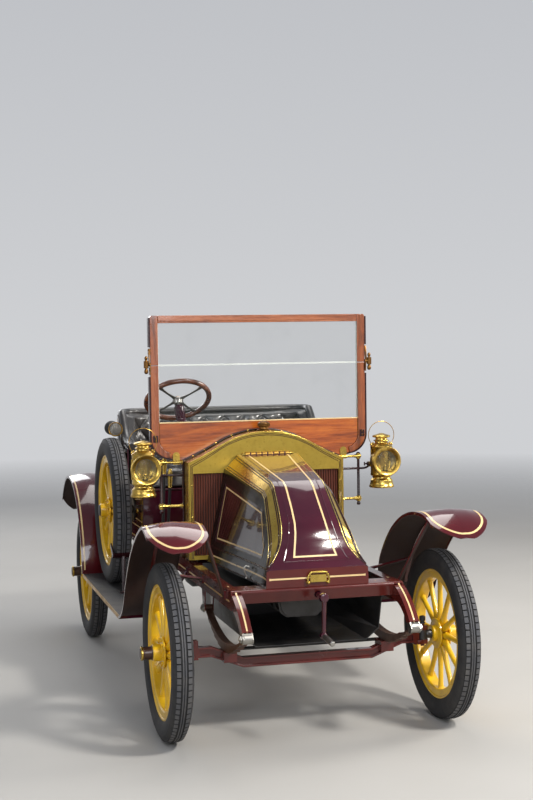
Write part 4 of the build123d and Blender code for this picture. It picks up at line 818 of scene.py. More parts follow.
def bonnet():
    """Bonnet: black side frames, sunk glossy panels, brown plinth, beads and cream lining."""
    shape = cad_shape("bonnet_shell")
    shape.finish_where(1, lambda where, normal: abs(normal.x) > 0.5)
    shape.finish_where(3, lambda where, normal: abs(normal.x) > 0.5 and where.z > 0.7
                       and inside(SIDE_PANEL, where.y, where.z))
    shape.finish_where(2, lambda where, normal: abs(normal.x) <= 0.5 and normal.y < -0.9 and where.z < 0.69)
    shape.flatten()
    shape.done("bonnet_panels", [MAROON, BLACK_PAINT, BROWN_MAROON, DEEP_MAROON], "bonnet_shell",
               "maroon_paint", "bonnet", bevel=0.0015)

    skin = Surface("bonnet_shell")
    lines = Shape()
    panel = [(0.534, 0.714), (0.534, 0.933), (0.093, 0.869), (-0.019, 0.744), (-0.019, 0.714), (0.534, 0.714)]
    for side in SIDES:
        for outline in (panel, [(0.588, 0.638), (-0.156, 0.638)]):
            lines.line(skin.lay([(side * 0.3, y, z) for y, z in outline], (-side, 0, 0)), 0.0065)
    lines.line(skin.lay([(-0.209, -0.2, 0.638), (0.209, -0.2, 0.638)], BACK), 0.0065)
    lines.line(lid_loop((0.09, 0.057, 0.063, 0.079, 0.1), -0.129), 0.0075, 0.0008)
    lines.done("bonnet_lining", STRIPE, slot="maroon_paint", body="bonnet")

    crease = Shape()
    laid = lid_loop((0.113, 0.081, 0.088, 0.112, 0.15), -0.14)
    crease.tube([place - normal * 0.0012 for place, normal in laid], 0.003, 10)
    crease.done("bonnet_crease", MAROON, slot="maroon_paint", body="bonnet")

    beads = Shape()
    for height, radius in ((0.672, 0.0042), (0.6085, 0.003)):
        left = [place for place, _ in skin.lay([(0.3, 0.586, height), (0.3, -0.154, height)], (-1, 0, 0),
                                               0.03)]
        beads.tube(left + other_side(left), radius, 10)
    beads.done("bonnet_beads", BEAD, slot="maroon_paint", body="bonnet")

    trim = Shape()
    band, beads = [], [[] for _ in BAND_BEADS]
    low_edge, high_edge = corner_path(0, 0.5965, -0.147), corner_path(1, 0.5965, -0.147)
    for index, (low, high) in enumerate(zip(low_edge, high_edge)):
        across = high - low
        along = low_edge[min(index + 1, len(low_edge) - 1)] - low_edge[max(index - 1, 0)]
        out = along.cross(across).normalized()
        out = out if out.x > 0 else -out
        reach = 0.98 * sqrt(1 - max(0.0, (-0.085 - low.y) / 0.0645) ** 2)
        band.append([low + across * share + out * lift for share, lift in
                     ((0.01, -0.001), (0.01, 0.0012), (reach, 0.0012), (reach, -0.001))])
        for path, (share, radius, _) in zip(beads, BAND_BEADS):
            path.append(low + across * (share * reach) + out * (0.0012 + radius * 0.2))
    trim.skin(band)
    for path, (_, radius, finish) in zip(beads, BAND_BEADS):
        trim.finish = finish
        trim.tube(path, radius, 8)
    trim.finish = 1
    trim.tube(smooth_path([(0.218, 0.073, 0.656), (0.233, 0.073, 0.66), (0.2405, 0.073, 0.648),
                           (0.236, 0.073, 0.63), (0.229, 0.073, 0.618), (0.234, 0.073, 0.61)], 5), 0.0034, 12)
    trim.turned([(0, 0.007), (0.002, 0.007), (0.003, 0.004)], (0.2215, 0.073, 0.656), LEFT, 16)
    trim.mirrored()
    trim.finish = 0
    for x in (-0.04, 0.04):
        trim.turned([(0, 0.0085), (0.002, 0.0085), (0.0035, 0.007), (0.012, 0.0062), (0.014, 0.004),
                     (0.0145, 0)], (x, -0.158, 0.62), AHEAD, 24)
    bail = both_ways([(0.04, 0.618), (0.044, 0.626), (0.041, 0.644), (0.034, 0.656), (0.026, 0.66)])
    trim.tube(smooth_path([(x, -0.168, z) for x, z in bail], 3), 0.0042, 12)
    trim.plate([(x, -0.158, z) for x, z in ((-0.033, 0.621), (0.033, 0.621), (0.033, 0.65), (-0.033, 0.65))],
               (0, -0.0085, 0))
    trim.done("bonnet_brass", [BRASS, BRIGHT_STEEL, PALE_GOLD_HIGHLIGHT, BEAD], "bonnet_trim", "brass", "bonnet",
              bevel=0.0004, sharp=50, segments=1)


# Radiator and dash

def ogee_path(grow, y, base=0.63):
    """The radiator's outline, grown by a margin, from foot to foot."""
    shoulder = (0.355 + grow, y, 1.04 + grow)
    crown = (0.21, y, 1.112 + grow)
    half = arc(shoulder, (0.284 + grow * 0.5, y, 1.073 + grow), crown, 14)
    top = arc(crown, (0, y, 1.169 + grow), (-0.21, y, 1.112 + grow), 28)
    foot = [Vector((0.355 + grow, y, base))]
    return foot + half + top[1:-1] + other_side(foot + half)


def radiator():
    """Brass shell whose front faces take a darker brass as painted shade, dark border lines painted as the
    shade of grooves, a knurled filler cap, and a core of upright tubes in front of a black block that stands
    for the shade inside.
    """
    front, rear, foot, window_top = 0.6, 0.688, 0.613, 0.991
    half, base = 0.333, 0.631
    shape = Shape()
    header = ogee_path(0, front)[1:-1]
    shape.plate(header + [Vector((-0.355, front, window_top)), Vector((0.355, front, window_top))],
                Vector((0, rear - front, 0)))
    for middle in (-0.344, 0.344):
        shape.box((middle - 0.011, front, foot), (middle + 0.011, rear, window_top))
    shape.box((-half, front, foot), (half, rear, base))
    # Faces turned to the front get the darker copy of the brass, as painted shade
    shape.finish_where(4, lambda where, normal: normal.y < -0.9)
    shape.rod((-0.114, 0.59, 1.069), (0.114, 0.59, 1.069), 0.005)
    for side in (-1, 1):
        shape.box((side * 0.108 - 0.005, 0.59, 1.061), (side * 0.108 + 0.005, 0.602, 1.077))
    shape.finish = 2
    shape.turned([(1.165, 0.0), (1.165, 0.0315), (1.1705, 0.0325), (1.1735, 0.03), (1.176, 0.0225),
                  (1.185, 0.0215), (1.187, 0.0262), (1.1885, 0.0272), (1.201, 0.0272), (1.203, 0.0258),
                  (1.2045, 0.0222), (1.2065, 0.0205), (1.21, 0.012), (1.2115, 0.0)], (0, 0.644, 0), UP, 48)
    for turn in turns(44):
        x, y = 0.027 * cos(turn), 0.644 + 0.027 * sin(turn)
        shape.rod((x, y, 1.1895), (x, y, 1.2), 0.0014, sides=6)
    shape.finish = 3
    for index in range(8):
        x = -0.091 + index * 0.026
        shape.turned(both_ways([(-0.01, 0.0093), (-0.0092, 0.0099)]), (x, 0.59, 1.069), LEFT, 20)
    shape.finish = 0
    for x in (-0.339, 0.339):
        for z in (0.66, 0.8, 0.94):
            shape.turned([(0, 0.0045), (0.0012, 0.004), (0.002, 0.0022), (0.0022, 0)], (x, front, z), AHEAD,
                         12)
    shape.tube(ogee_path(-0.0022, 0.6016, 0.614), 0.0026, 12)
    shape.done("radiator_brass", [BRASS, BEAD, BRONZE, OLD_BRASS, PLATE_BRASS_SHADED], "radiator_shell", "brass",
               bevel=0.0008, segments=1)

    # Dark lines along the border of the header: painted shade of its border grooves
    lines = Shape()
    for inset in (0.0118, 0.0178):
        lines.line([(place, Vector(AHEAD)) for place in ogee_path(-inset, front, 0.618)], 0.0028, 0.0006)
    lines.done("radiator_lines", BEAD, slot="maroon_paint")

    core = Shape()
    # A black block behind the rows of tubes: painted shade seen in the gaps between them
    core.box((-half, 0.618, base), (half, 0.67, window_top))
    core.finish = 1
    count = 58
    for index in range(count):
        x = -half + 2 * half * (index + 0.5) / count
        for y in (0.6155, 0.6725):
            core.rod((x, y, base), (x, y, window_top), 0.0047, sides=10)
    core.done("radiator_core", [BLACK, TUBES], "radiator_tubes", "tube_paint")


def dash():
    """Dash panel with its dark half-round bead and small screws."""
    soften("dash_panel", MAROON, 0.0015, "maroon_paint")
    bead = Shape()
    bead.tube(ogee_path(0.004, 0.6895), 0.0045, 12)
    bead.finish = 1
    path = ogee_path(0.0045, 0.6848)
    for place in path[3:-3:5]:
        bead.turned([(0, 0.0034), (0.0012, 0.003), (0.0018, 0.0016), (0.002, 0)], place, AHEAD, 12)
    bead.done("dash_bead", [BEAD, BRASS], slot="maroon_paint")


# Windscreen

# Half width between the posts, and where the upper frame turns
RAIL_HALF, PIVOT_Y, PIVOT_Z = 0.4595, 0.697, 1.47


def windscreen():
    """Wooden board, curved posts with iron straps, free-edged panes and the folding upper frame."""
    foot_outer = arc((0.495, 0, 1.137), (0.473, 0, 1.083), (0.419, 0, 1.055), 10)
    foot_inner = arc((0.412, 0, 1.078), (0.449, 0, 1.102), (0.46, 0, 1.15), 10)

    wood = Shape()
    board = [(0.459, 1.212)] + [(point.x - 0.001, point.z) for point in reversed(foot_inner)] + [
        (0.4165, 1.056), (0.333, 1.018)]
    wood.plate([(x, 0.703, z) for x, z in both_ways(board)], (0, 0.024, 0))
    wood.done("screen_board", BOARD_WOOD, "windscreen_frame", "varnished_wood", bevel=0.0015)

    posts = Shape()
    for side in SIDES:
        outline = [(0.46, 1.4635), (0.495, 1.4635)] + [(point.x, point.z) for point in foot_outer] + [
            (point.x, point.z) for point in foot_inner]
        posts.plate([(side * x, 0.7, z) for x, z in outline], (0, 0.03, 0))
    posts.done("screen_posts", POST_WOOD, "windscreen_frame", "varnished_wood", bevel=0.0022)

    trim = Shape()
    for low_y in (0.7015, 0.718):
        trim.box((-RAIL_HALF, low_y, 1.2085), (RAIL_HALF, low_y + 0.0105, 1.2128))
    trim.finish = 1
    for side in SIDES:
        strap = [(side * 0.499, 0.715, 1.415)] + [(side * (point.x + 0.0035), 0.715, point.z - 0.002)
                                                  for point in foot_outer] + [(side * 0.398, 0.715, 1.046)]
        trim.bar(strap, (0, 0.027, 0), 0.0075)
        trim.box((side * 0.478 - 0.011, 0.6975, 1.126), (side * 0.478 + 0.011, 0.7005, 1.156))
        trim.finish = 2
        trim.box((side * 0.4592 - 0.0011, 0.7004, 1.105), (side * 0.4592 + 0.0011, 0.7036, 1.212))
        for z in (1.133, 1.149):
            trim.turned([(0, 0.0036), (0.0012, 0.0032), (0.0018, 0)], (side * 0.478, 0.6975, z), AHEAD, 12)
        trim.finish = 1
    trim.finish = 2
    for side in SIDES:
        trim.box((side * 0.497 - 0.002, 0.691, 1.424), (side * 0.497 + 0.002, 0.724, 1.456))
        trim.plate([(side * 0.495, PIVOT_Y + 0.009 * cos(turn), PIVOT_Z + 0.009 * sin(turn))
                    for turn in half_turn()]
                   + [(side * 0.495, 0.688, 1.44), (side * 0.495, 0.706, 1.44)], (side * 0.004, 0, 0))
        trim.rod((side * 0.495, PIVOT_Y, PIVOT_Z), (side * 0.5205, PIVOT_Y, PIVOT_Z), 0.005, sides=24)
        trim.turned([(-0.042, 0.0), (-0.0415, 0.005), (-0.037, 0.0085), (-0.03, 0.0092), (-0.022, 0.0075),
                     (-0.019, 0.0054), (-0.0165, 0.0054), (-0.0155, 0.0108), (0.0155, 0.0108),
                     (0.0165, 0.0056), (0.02, 0.005), (0.024, 0.0072), (0.03, 0.0072), (0.035, 0.005),
                     (0.038, 0.0)], (side * 0.515, PIVOT_Y, PIVOT_Z), UP, 28)
    trim.finish = 3
    for side in SIDES:
        trim.box((side * 0.4588 - 0.001, 0.7085, 1.214), (side * 0.4588 + 0.001, 0.7215, 1.4625))
    trim.box((-0.458, 0.7124, 1.4612), (0.458, 0.7176, 1.4638))
    trim.done("screen_fittings", [STRIPE, BEAD, BRONZE, EDGE_GLASS], slot="brass", bevel=0.0006)

    upper = Shape()
    for side in SIDES:
        upper.plate([(side * x, 0.7, z) for x, z in ((0.46, 1.465), (0.495, 1.465), (0.495, 1.678),
                                                       (0.489, 1.6838), (0.46, 1.6838))], (0, 0.03, 0))
    upper.done("screen_upper_posts", POST_WOOD, "windscreen_top_frame", "varnished_wood", "screen_top",
               bevel=0.0022)
    rail = Shape()
    rail.box((-RAIL_HALF, 0.7, 1.658), (RAIL_HALF, 0.73, 1.6838))
    for y in (0.701, 0.7185):
        rail.box((-RAIL_HALF, y, 1.6505), (RAIL_HALF, y + 0.0105, 1.6582))
    rail.done("screen_top_rail", RAIL_WOOD, "windscreen_top_frame", "varnished_wood", "screen_top",
              bevel=0.0022)

    arms = Shape()
    for side in SIDES:
        outline = [(PIVOT_Y + 0.009 * cos(turn - pi), PIVOT_Z + 0.009 * sin(turn - pi))
                   for turn in half_turn()]
        outline += [(0.72, 1.508), (0.722, 1.524), (0.718, 1.54), (0.704, 1.54), (0.7, 1.53)]
        arms.plate([(side * 0.4994, y, z) for y, z in outline], (side * 0.0036, 0, 0))
        arms.box((side * 0.497 - 0.0026, 0.702, 1.512), (side * 0.497 + 0.0026, 0.719, 1.538))
        for z in (1.518, 1.532):
            arms.turned([(0, 0.0042), (0.0014, 0.0036), (0.0022, 0)], (side * 0.5029, 0.711, z), (side, 0, 0),
                        12)
    arms.finish = 1
    for side in SIDES:
        arms.box((side * 0.499 - 0.004, 0.701, 1.545), (side * 0.499 + 0.0036, 0.729, 1.674))
    arms.finish = 2
    arms.box((-0.458, 0.7124, 1.4652), (0.458, 0.7176, 1.4678))
    for side in SIDES:
        arms.box((side * 0.4588 - 0.001, 0.7085, 1.466), (side * 0.4588 + 0.001, 0.7215, 1.657))
    arms.done("screen_arms", [BRONZE, BEAD, EDGE_GLASS], slot="brass", body="screen_top", bevel=0.0006)


# Lamps

# Middle of the left lamp, at the height of its lens
LAMP_X, LAMP_Y, LAMP_Z = 0.547, 0.632, 1.019


def lamps():
    """Oil side lamps: flared font, drum with bezel, reflector, burner and lens, chimney with black studs
    painted as the shade of its vents, and bail.
    """
    brass, inner, lenses = Shape(), Shape(), Shape()
    for side in SIDES:
        x = side * LAMP_X
        brass.turned([(0.896, 0.0), (0.896, 0.0535), (0.8975, 0.056), (0.902, 0.0568), (0.906, 0.0556),
                      (0.908, 0.054), (0.924, 0.05), (0.927, 0.0506), (0.93, 0.0494), (0.936, 0.0435),
                      (0.94, 0.0412), (0.944, 0.0412), (0.947, 0.044), (0.952, 0.0495), (0.955, 0.0508),
                      (0.958, 0.05), (0.962, 0.0492), (1.076, 0.0492), (1.078, 0.0505), (1.082, 0.0505),
                      (1.084, 0.048), (1.09, 0.04), (1.096, 0.034), (1.099, 0.029), (1.1045, 0.0285),
                      (1.1065, 0.0345), (1.1085, 0.0355), (1.1105, 0.0345), (1.113, 0.027), (1.119, 0.0255),
                      (1.1215, 0.03), (1.1235, 0.0385), (1.126, 0.0405), (1.13, 0.04), (1.1325, 0.037),
                      (1.1345, 0.029), (1.138, 0.018), (1.1412, 0.0085), (1.142, 0.0)],
                     (x, LAMP_Y, 0), UP, 56)
        brass.turned([(0.0, 0.055), (0.046, 0.057), (0.055, 0.0585), (0.057, 0.062), (0.06, 0.0655),
                      (0.0635, 0.0662), (0.065, 0.0645), (0.072, 0.064), (0.0735, 0.0662), (0.0765, 0.066),
                      (0.0785, 0.064), (0.078, 0.061), (0.0715, 0.05), (0.068, 0.0472), (0.064, 0.0478)],
                     (x, LAMP_Y, LAMP_Z), AHEAD, 64)
        ring = [(x + 0.061 * cos(turn), LAMP_Y, 1.134 + 0.061 * sin(turn)) for turn in turns(48)]
        brass.finish = 1
        brass.tube(ring, 0.0016, 8, ring=True)
        brass.finish = 0
        for pin in (-1, 1):
            brass.ball((x + pin * 0.0405, LAMP_Y, 1.097), 0.0052, sides=14)
            brass.turned([(0, 0.006), (0.004, 0.006), (0.006, 0.0035)], (x + pin * 0.047, LAMP_Y, 1.0905),
                         (pin, 0, 0), 14)
        brass.rod((x + side * 0.054, 0.6, 0.975), (x + side * 0.054, 0.6, 1.063), 0.004, sides=14)
        brass.box((x - side * 0.047 - 0.006, 0.64, 0.99), (x - side * 0.047 + 0.006, 0.674, 1.012))
        inner.finish = 0
        inner.turned([(0.064, 0.0476), (0.056, 0.0464), (0.044, 0.0405), (0.032, 0.029), (0.024, 0.0165),
                      (0.02, 0.006), (0.0195, 0.0)], (x, LAMP_Y, LAMP_Z), AHEAD, 48)
        inner.finish = 1
        inner.turned([(0.978, 0.012), (0.992, 0.011), (0.996, 0.007), (1.002, 0.005), (1.004, 0.0)],
                     (x, 0.585, 0), UP, 20)
        # Black studs round the chimney's collar stand for its vent holes: painted shade
        inner.finish = 2
        collar = Vector((x, LAMP_Y, 1.1018))
        for turn in turns(12):
            out = Vector((cos(turn), sin(turn), 0))
            inner.rod(collar + out * 0.0275, collar + out * 0.0292, 0.0021, sides=8)
        lenses.turned([(0.066, 0.0), (0.066, 0.0472), (0.0675, 0.0472), (0.07, 0.042), (0.0722, 0.03),
                       (0.0734, 0.016), (0.0737, 0.0)], (x, LAMP_Y, LAMP_Z), AHEAD, 48)
    brass.done("lamp_brass", [LAMP_BRASS, OLD_BRASS], "side_lamps", "brass", bevel=0.0003, segments=1,
               sharp=40)
    inner.done("lamp_insides", [MIRROR, BRASS, BLACK], slot="brass")
    lenses.done("lamp_lenses", LENS, "lamp_glasses", "clear_glass")


def lamp_irons():
    """Brass tee arms and dark rods that carry the lamps."""
    dark, brass = Shape(), Shape()
    for side in SIDES:
        x, y, edge = side * 0.457, 0.694, side * 0.362
        dark.turned([(0.812, 0.0), (0.813, 0.006), (0.817, 0.0085), (0.822, 0.0085), (0.826, 0.0062),
                     (1.044, 0.006), (1.046, 0.0085), (1.051, 0.0085), (1.054, 0.005), (1.055, 0)],
                    (x, y, 0), UP, 20)
        rise = smooth_path([(edge, y, 0.98), (side * 0.44, y, 0.98), (side * 0.484, y - 0.004, 0.981),
                            (side * 0.5, y - 0.014, 0.99), (side * 0.503, y - 0.028, 1.001)], 8)
        dark.tube(rise, 0.0052, 14)
        dark.rod((side * 0.489, 0.664, 1.002), (side * 0.507, 0.664, 1.002), 0.0095, sides=20)
        dark.rod((side * 0.478, 0.664, 1.002), (side * 0.492, 0.664, 1.002), 0.0035, sides=12)
        dark.turned(both_ways([(-0.0085, 0.0), (-0.008, 0.0032), (-0.002, 0.0026)]),
                    (side * 0.4765, 0.664, 1.002), UP, 12)
        for z in (0.843, 1.036):
            brass.turned([(0.0, 0.0115), (0.003, 0.0115), (0.005, 0.008), (0.012, 0.0062), (0.07, 0.0058),
                          (0.078, 0.0072), (0.086, 0.0098), (0.095, 0.0105), (0.104, 0.0098), (0.1075, 0.006),
                          (0.108, 0.0)], (edge, y, z), (side, 0, 0), 28)
            brass.rod((x, y, z - 0.0125), (x, y, z + 0.0125), 0.0098, sides=24)
        outline = [(0.372, 1.026), (0.402, 1.026), (0.402, 1.062)]
        outline += [(0.387 + 0.015 * cos(turn), 1.066 + 0.015 * sin(turn)) for turn in half_turn()]
        outline += [(0.372, 1.062)]
        brass.plate([(side * a, 0.6962, b) for a, b in outline], (0, 0.0036, 0))
        brass.turned([(0, 0.0052), (0.001, 0.0048), (0.0016, 0)], (side * 0.387, 0.6962, 1.066), AHEAD, 14)
    dark.done("lamp_iron_rods", BEAD, "lamp_brackets", "black_steel", bevel=0.0004, segments=1)
    brass.done("lamp_iron_arms", BRASS, "lamp_brackets", "brass", bevel=0.0005, segments=1)


# Steering

def steering():
    """Turned wooden rim on four flared iron spokes, domed hub nut, and the column with its collars."""
    tilt = radians(38)
    axis = Vector((0, sin(tilt), cos(tilt)))
    hub = Vector((-0.262, 1.27, 1.289))
    across, ahead = Vector(LEFT), Vector((0, cos(tilt), -sin(tilt)))

    def at(turn, reach, height=0.0):
        return hub + (across * cos(turn) + ahead * sin(turn)) * reach + axis * height

    rim = Shape()
    rim.tube([at(turn, 0.152) for turn in turns(72)], 0.0128, 18, ring=True)
    rim.done("steering_rim", RIM_WOOD, "steering_wheel", "varnished_wood", "steering_wheel")

    iron = Shape()
    for index in range(4):
        turn = pi / 4 + pi / 2 * index
        out = at(turn, 1) - hub
        side = axis.cross(out)
        # reach, half width, height over the rim's plane, half thickness
        stations = ((0.017, 0.0135, -0.003, 0.0042), (0.04, 0.0085, -0.004, 0.0036),
                    (0.075, 0.0062, -0.005, 0.003), (0.115, 0.0072, -0.004, 0.0028),
                    (0.134, 0.0105, -0.002, 0.0026), (0.146, 0.015, 0.0, 0.0022))
        iron.skin([[hub + out * reach + side * (wide * cos(angle)) + axis * (height + thick * sin(angle))
                    for angle in turns(10)]
                   for reach, wide, height, thick in stations])
    iron.turned([(-0.027, 0.0), (-0.027, 0.019), (-0.02, 0.0215), (-0.012, 0.0255), (-0.004, 0.0262),
                 (0.002, 0.0235), (0.004, 0.0185)], hub, axis, 40)
    iron.turned([(-0.895, 0.0108), (-0.02, 0.0108)], hub, axis, 20)
    iron.finish = 1
    iron.turned([(0.003, 0.019), (0.008, 0.019), (0.0095, 0.015), (0.013, 0.0135), (0.016, 0.009),
                 (0.017, 0.0)], hub, axis, 6)
    iron.done("steering_spokes", [STEEL, BRONZE], "steering_wheel", "varnished_wood", "steering_wheel",
              bevel=0.0008, segments=1)

    column = Shape()
    column.turned([(-0.9, 0.019), (-0.14, 0.019)], hub, axis, 28)
    column.turned([(-0.142, 0.019), (-0.138, 0.0235), (-0.128, 0.024), (-0.125, 0.0215), (-0.06, 0.0215),
                   (-0.056, 0.024), (-0.045, 0.024), (-0.041, 0.02), (-0.04, 0.012)], hub, axis, 28)
    for turn in turns(10):
        out = across * cos(turn) + ahead * sin(turn)
        column.rod(hub + out * 0.0215 - axis * 0.122, hub + out * 0.0215 - axis * 0.062, 0.0026, sides=8)
    column.take("steering_column", lambda where: where.z < 0.7)
    column.finish = 1
    column.turned([(-0.47, 0.019), (-0.468, 0.0235), (-0.452, 0.0235), (-0.45, 0.019)], hub, axis, 28)
    column.turned([(-0.162, 0.019), (-0.16, 0.0225), (-0.147, 0.0225), (-0.145, 0.019)], hub, axis, 28)
    column.done("steering_post", [MAROON, BRASS], "steering_column", "maroon_paint", bevel=0.0006,
                segments=1)


# Fenders and running boards

def fenders():
    """Crowned fenders with turned lips, undersides in dark brown dust and painted shade, and cream lining."""
    for node in ("front_fenders", "rear_fenders"):
        shape = cad_shape(node)
        # Faces turned downwards get the dark brown underside finish: dust, and painted shade under the
        # fenders
        shape.finish_where(1, lambda where, normal: normal.z < -0.05)
        shape.flatten()
        shape.done(node + "_painted", [RED_MAROON, UNDERSIDE_DUST_AND_SHADE], node, "maroon_paint", bevel=0.0008, sharp=26,
                   segments=1)

    lining = Shape()
    front, rear = Surface("front_fenders"), Surface("rear_fenders")
    inset = 0.016
    low_x, high_x, over = 0.45 + inset, 0.69 - inset, 1.2
    tip = arc((low_x, -0.196, over), (0.57, -0.306 + inset, over), (high_x, -0.196, over), 24)
    lining.line(front.lay([(low_x, 0.486, over)] + tip + [(high_x, 0.478, over)], DOWN, 0.015, 0.0), 0.009)
    hub = Vector((0, 2.12, 0.38))
    for x in (0.474 + 0.014, 0.69 - 0.014):
        laid = []
        for step in range(52):
            turn = radians(174 - step * 2.15)
            out = Vector((0, cos(turn), sin(turn)))
            laid += rear.lay([hub + Vector((x, 0, 0)) + out * 0.75], -out, back=0.0)
        lining.line(laid, 0.0075)
    tail = arc((0.488, 2.386, over), (0.582, 2.48, over), (0.676, 2.386, over), 24)
    lining.line(rear.lay(tail, DOWN, 0.015, 0.0), 0.0075)
    lining.mirrored()
    lining.done("fender_lining", STRIPE, slot="maroon_paint")

    rib = Shape()
    path = []
    for step in range(16):
        y = -0.2 + step * 0.04
        hit = front.tree.ray_cast(Vector((0.572, y, 0.3)), Vector(UP))[0]
        if hit is not None:
            path.append(hit - Vector((0, 0, 0.003)))
    rib.bar(path, (0.016, 0, 0), 0.004)
    rib.mirrored()
    rib.done("front_fender_ribs", BROWN_MAROON, slot="maroon_paint", bevel=0.0006, segments=1)


def running_boards():
    """Painted boards with a ribbed top covering and brass edge strips."""
    shape = cad_shape("running_boards")
    shape.finish_where(1, lambda where, normal: normal.z > 0.9 and where.z > 0.4095)
    shape.flatten()
    shape.done("running_boards_covered", [MAROON, BOARD_TOP], "running_boards", "maroon_paint",
               bevel=0.001)
    strips = Shape()
    for side in SIDES:
        strips.box((side * 0.6862 - 0.0018, 0.501, 0.3945), (side * 0.6862 + 0.0018, 1.6395, 0.4112))
        for index in range(8):
            y = 0.55 + index * 0.148
            strips.turned([(0, 0.004), (0.001, 0.0036), (0.0016, 0)], (side * 0.6878, y, 0.4025),
                          (side, 0, 0), 12)
    strips.done("running_board_strips", OLD_BRASS, slot="brass", bevel=0.0008)


# Seat

# Distance between buttons in a row
BUTTON_GAP = 0.1


def stuffed(shape, voxel, pressure, reach):
    """Swells a closed shape as cloth under pressure, held at its base, with no point moved beyond reach."""
    mesh = bpy.data.meshes.new("pad")
    shape.bm.to_mesh(mesh)
    shape.bm.free()
    pad = bpy.data.objects.new("pad", mesh)
    scene.collection.objects.link(pad)
    grid = pad.modifiers.new("grid", "REMESH")
    grid.mode = "VOXEL"
    grid.voxel_size = voxel
    fine = bpy.data.meshes.new_from_object(pad.evaluated_get(bpy.context.evaluated_depsgraph_get()))
    pad.modifiers.clear()
    pad.data = fine
    start = [vert.co.copy() for vert in fine.vertices]
    low = min(point.z for point in start)
    held = pad.vertex_groups.new(name="held")
    held.add([index for index, point in enumerate(start) if point.z < low + voxel], 1.0, "REPLACE")
    cloth = pad.modifiers.new("cloth", "CLOTH")
    cloth.settings.vertex_group_mass = "held"
    cloth.settings.use_pressure = True
    cloth.settings.uniform_pressure_force = pressure
    cloth.settings.effector_weights.gravity = 0.0
    cloth.settings.quality = 5
    cloth.collision_settings.use_collision = False
    for step in range(1, 21):
        scene.frame_set(step)
    swollen = pad.evaluated_get(bpy.context.evaluated_depsgraph_get()).to_mesh()
    moves = [vert.co - point for vert, point in zip(swollen.vertices, start)]
    pad.evaluated_get(bpy.context.evaluated_depsgraph_get()).to_mesh_clear()
    pad.modifiers.clear()
    scene.frame_set(1)
    for vert, point, move in zip(fine.vertices, start, moves):
        vert.co = point + move * min(1.0, reach / max(move.length, 1e-9))
    made = Shape()
    made.bm.from_mesh(fine)
    bpy.data.objects.remove(pad)
    bpy.data.meshes.remove(fine)
    bmesh.ops.smooth_vert(made.bm, verts=made.bm.verts, factor=0.5, use_axis_x=True, use_axis_y=True,
                          use_axis_z=True)
    bmesh.ops.subdivide_edges(made.bm, edges=made.bm.edges, cuts=1, use_grid_fill=True, smooth=0.6)
    for face in made.bm.faces:
        face.material_index = 0
    made.bm.normal_update()
    return made


def diamonds(first, second, wide, high):
    """Height of buttoned leather, 0 in its folds to 1 at a pillow's crown, and the pull of the buttons."""
    up, down = first / wide + second / high, first / wide - second / high
    crown = sqrt(abs(sin(pi * up)) * abs(sin(pi * down)))
    away = [abs(value - round(value)) for value in (up, down)]
    pull = max(0.0, 1.0 - 5.0 * max(away))
    return crown, pull


def tufted(shape, spots, where, wide, high, depth):
    """Presses folds and button dimples into the points for which where() gives two lengths and a share."""
    shape.bm.normal_update()
    moves = []
    for vert in shape.bm.verts:
        first, second, share = where(vert.co, vert.normal)
        if share > 0:
            crown, pull = diamonds(first, second, wide, high)
            moves.append((vert, vert.normal * (-depth * share * ((1 - crown) ** 1.6 + 0.7 * pull ** 2))))
    for vert, move in moves:
        vert.co += move
    shape.bm.normal_update()
    tree = BVHTree.FromBMesh(shape.bm)
    buttons = Shape()
    for start, direction in spots:
        place, normal = tree.ray_cast(start, direction)[:2]
        if place is not None:
            buttons.turned([(-0.003, 0.0085), (0.0005, 0.0085), (0.0025, 0.007), (0.0036, 0.004),
                            (0.004, 0.0)], place, -direction, 16)
    return buttons


def cushion():
    """Buttoned seat cushion, swollen as cloth, with a piped edge."""
    pad = Shape()
    outline = both_ways([(0.412, 1.118), (0.412, 1.536), (0.346, 1.606)])
    pad.plate([(x, y, 0.884) for x, y in outline], (0, 0, 0.082))
    pad = stuffed(pad, 0.0075, 4.0, 0.024)
    spots = []
    for row in range(4):
        for column in range(-4, 5):
            x = column * BUTTON_GAP + (BUTTON_GAP / 2 if row % 2 else 0.0)
            y = 1.2 + 0.1 * row
            if abs(x) < 0.36:
                spots.append((Vector((x, y, 1.2)), Vector(DOWN)))

    def where(point, normal):
        edge = min(0.39 - abs(point.x), point.y - 1.15, 1.56 - point.y)
        return point.x, point.y - 1.2, max(0.0, normal.z) * min(1.0, max(0.0, edge / 0.03))

    buttons = tufted(pad, spots, where, 0.1, 0.2, 0.011)
    made = pad.done("seat_cushion_hide", LEATHER, "seat_cushion", "black_leather", sharp=60)
    buttons.done("seat_cushion_buttons", LEATHER, slot="black_leather")
    piping = Shape()
    piping.tube([(x * 0.992 + (0.014 if x > 0 else -0.014), y + (-0.008 if y < 1.2 else 0.006), 0.892)
                 for x, y in outline], 0.0045, 10, ring=True)
    piping.done("seat_cushion_piping", LEATHER, slot="black_leather")


def tub_plan(inset, curve):
    """Plan of the seat's tub at a distance inside its outer face, from the left arm to the right arm."""
    reach, back = 0.508 - inset, 1.7 - inset
    corner = arc((reach, back - curve, 0), (reach - curve * 0.293, back - curve * 0.293, 0),
                 (reach - curve, back, 0), 10)
    half = [Vector((reach, 1.292 + (back - curve - 1.292) * step / 10, 0)) for step in range(10)] + corner
    half += [Vector(((reach - curve) * (1 - step / 10), back, 0)) for step in range(1, 11)]
    return half + other_side(half[:-1])


def arm_height(y):
    """Height of the tub's top edge at a distance from the front axle."""
    levels = ((1.29, 1.085), (1.35, 1.09), (1.4, 1.099), (1.46, 1.125), (1.51, 1.168), (1.56, 1.226),
              (1.575, 1.235))
    for (y0, z0), (y1, z1) in zip(levels, levels[1:]):
        if y <= y1:
            return z0 + (z1 - z0) * max(0.0, (y - y0) / (y1 - y0))
    return 1.235


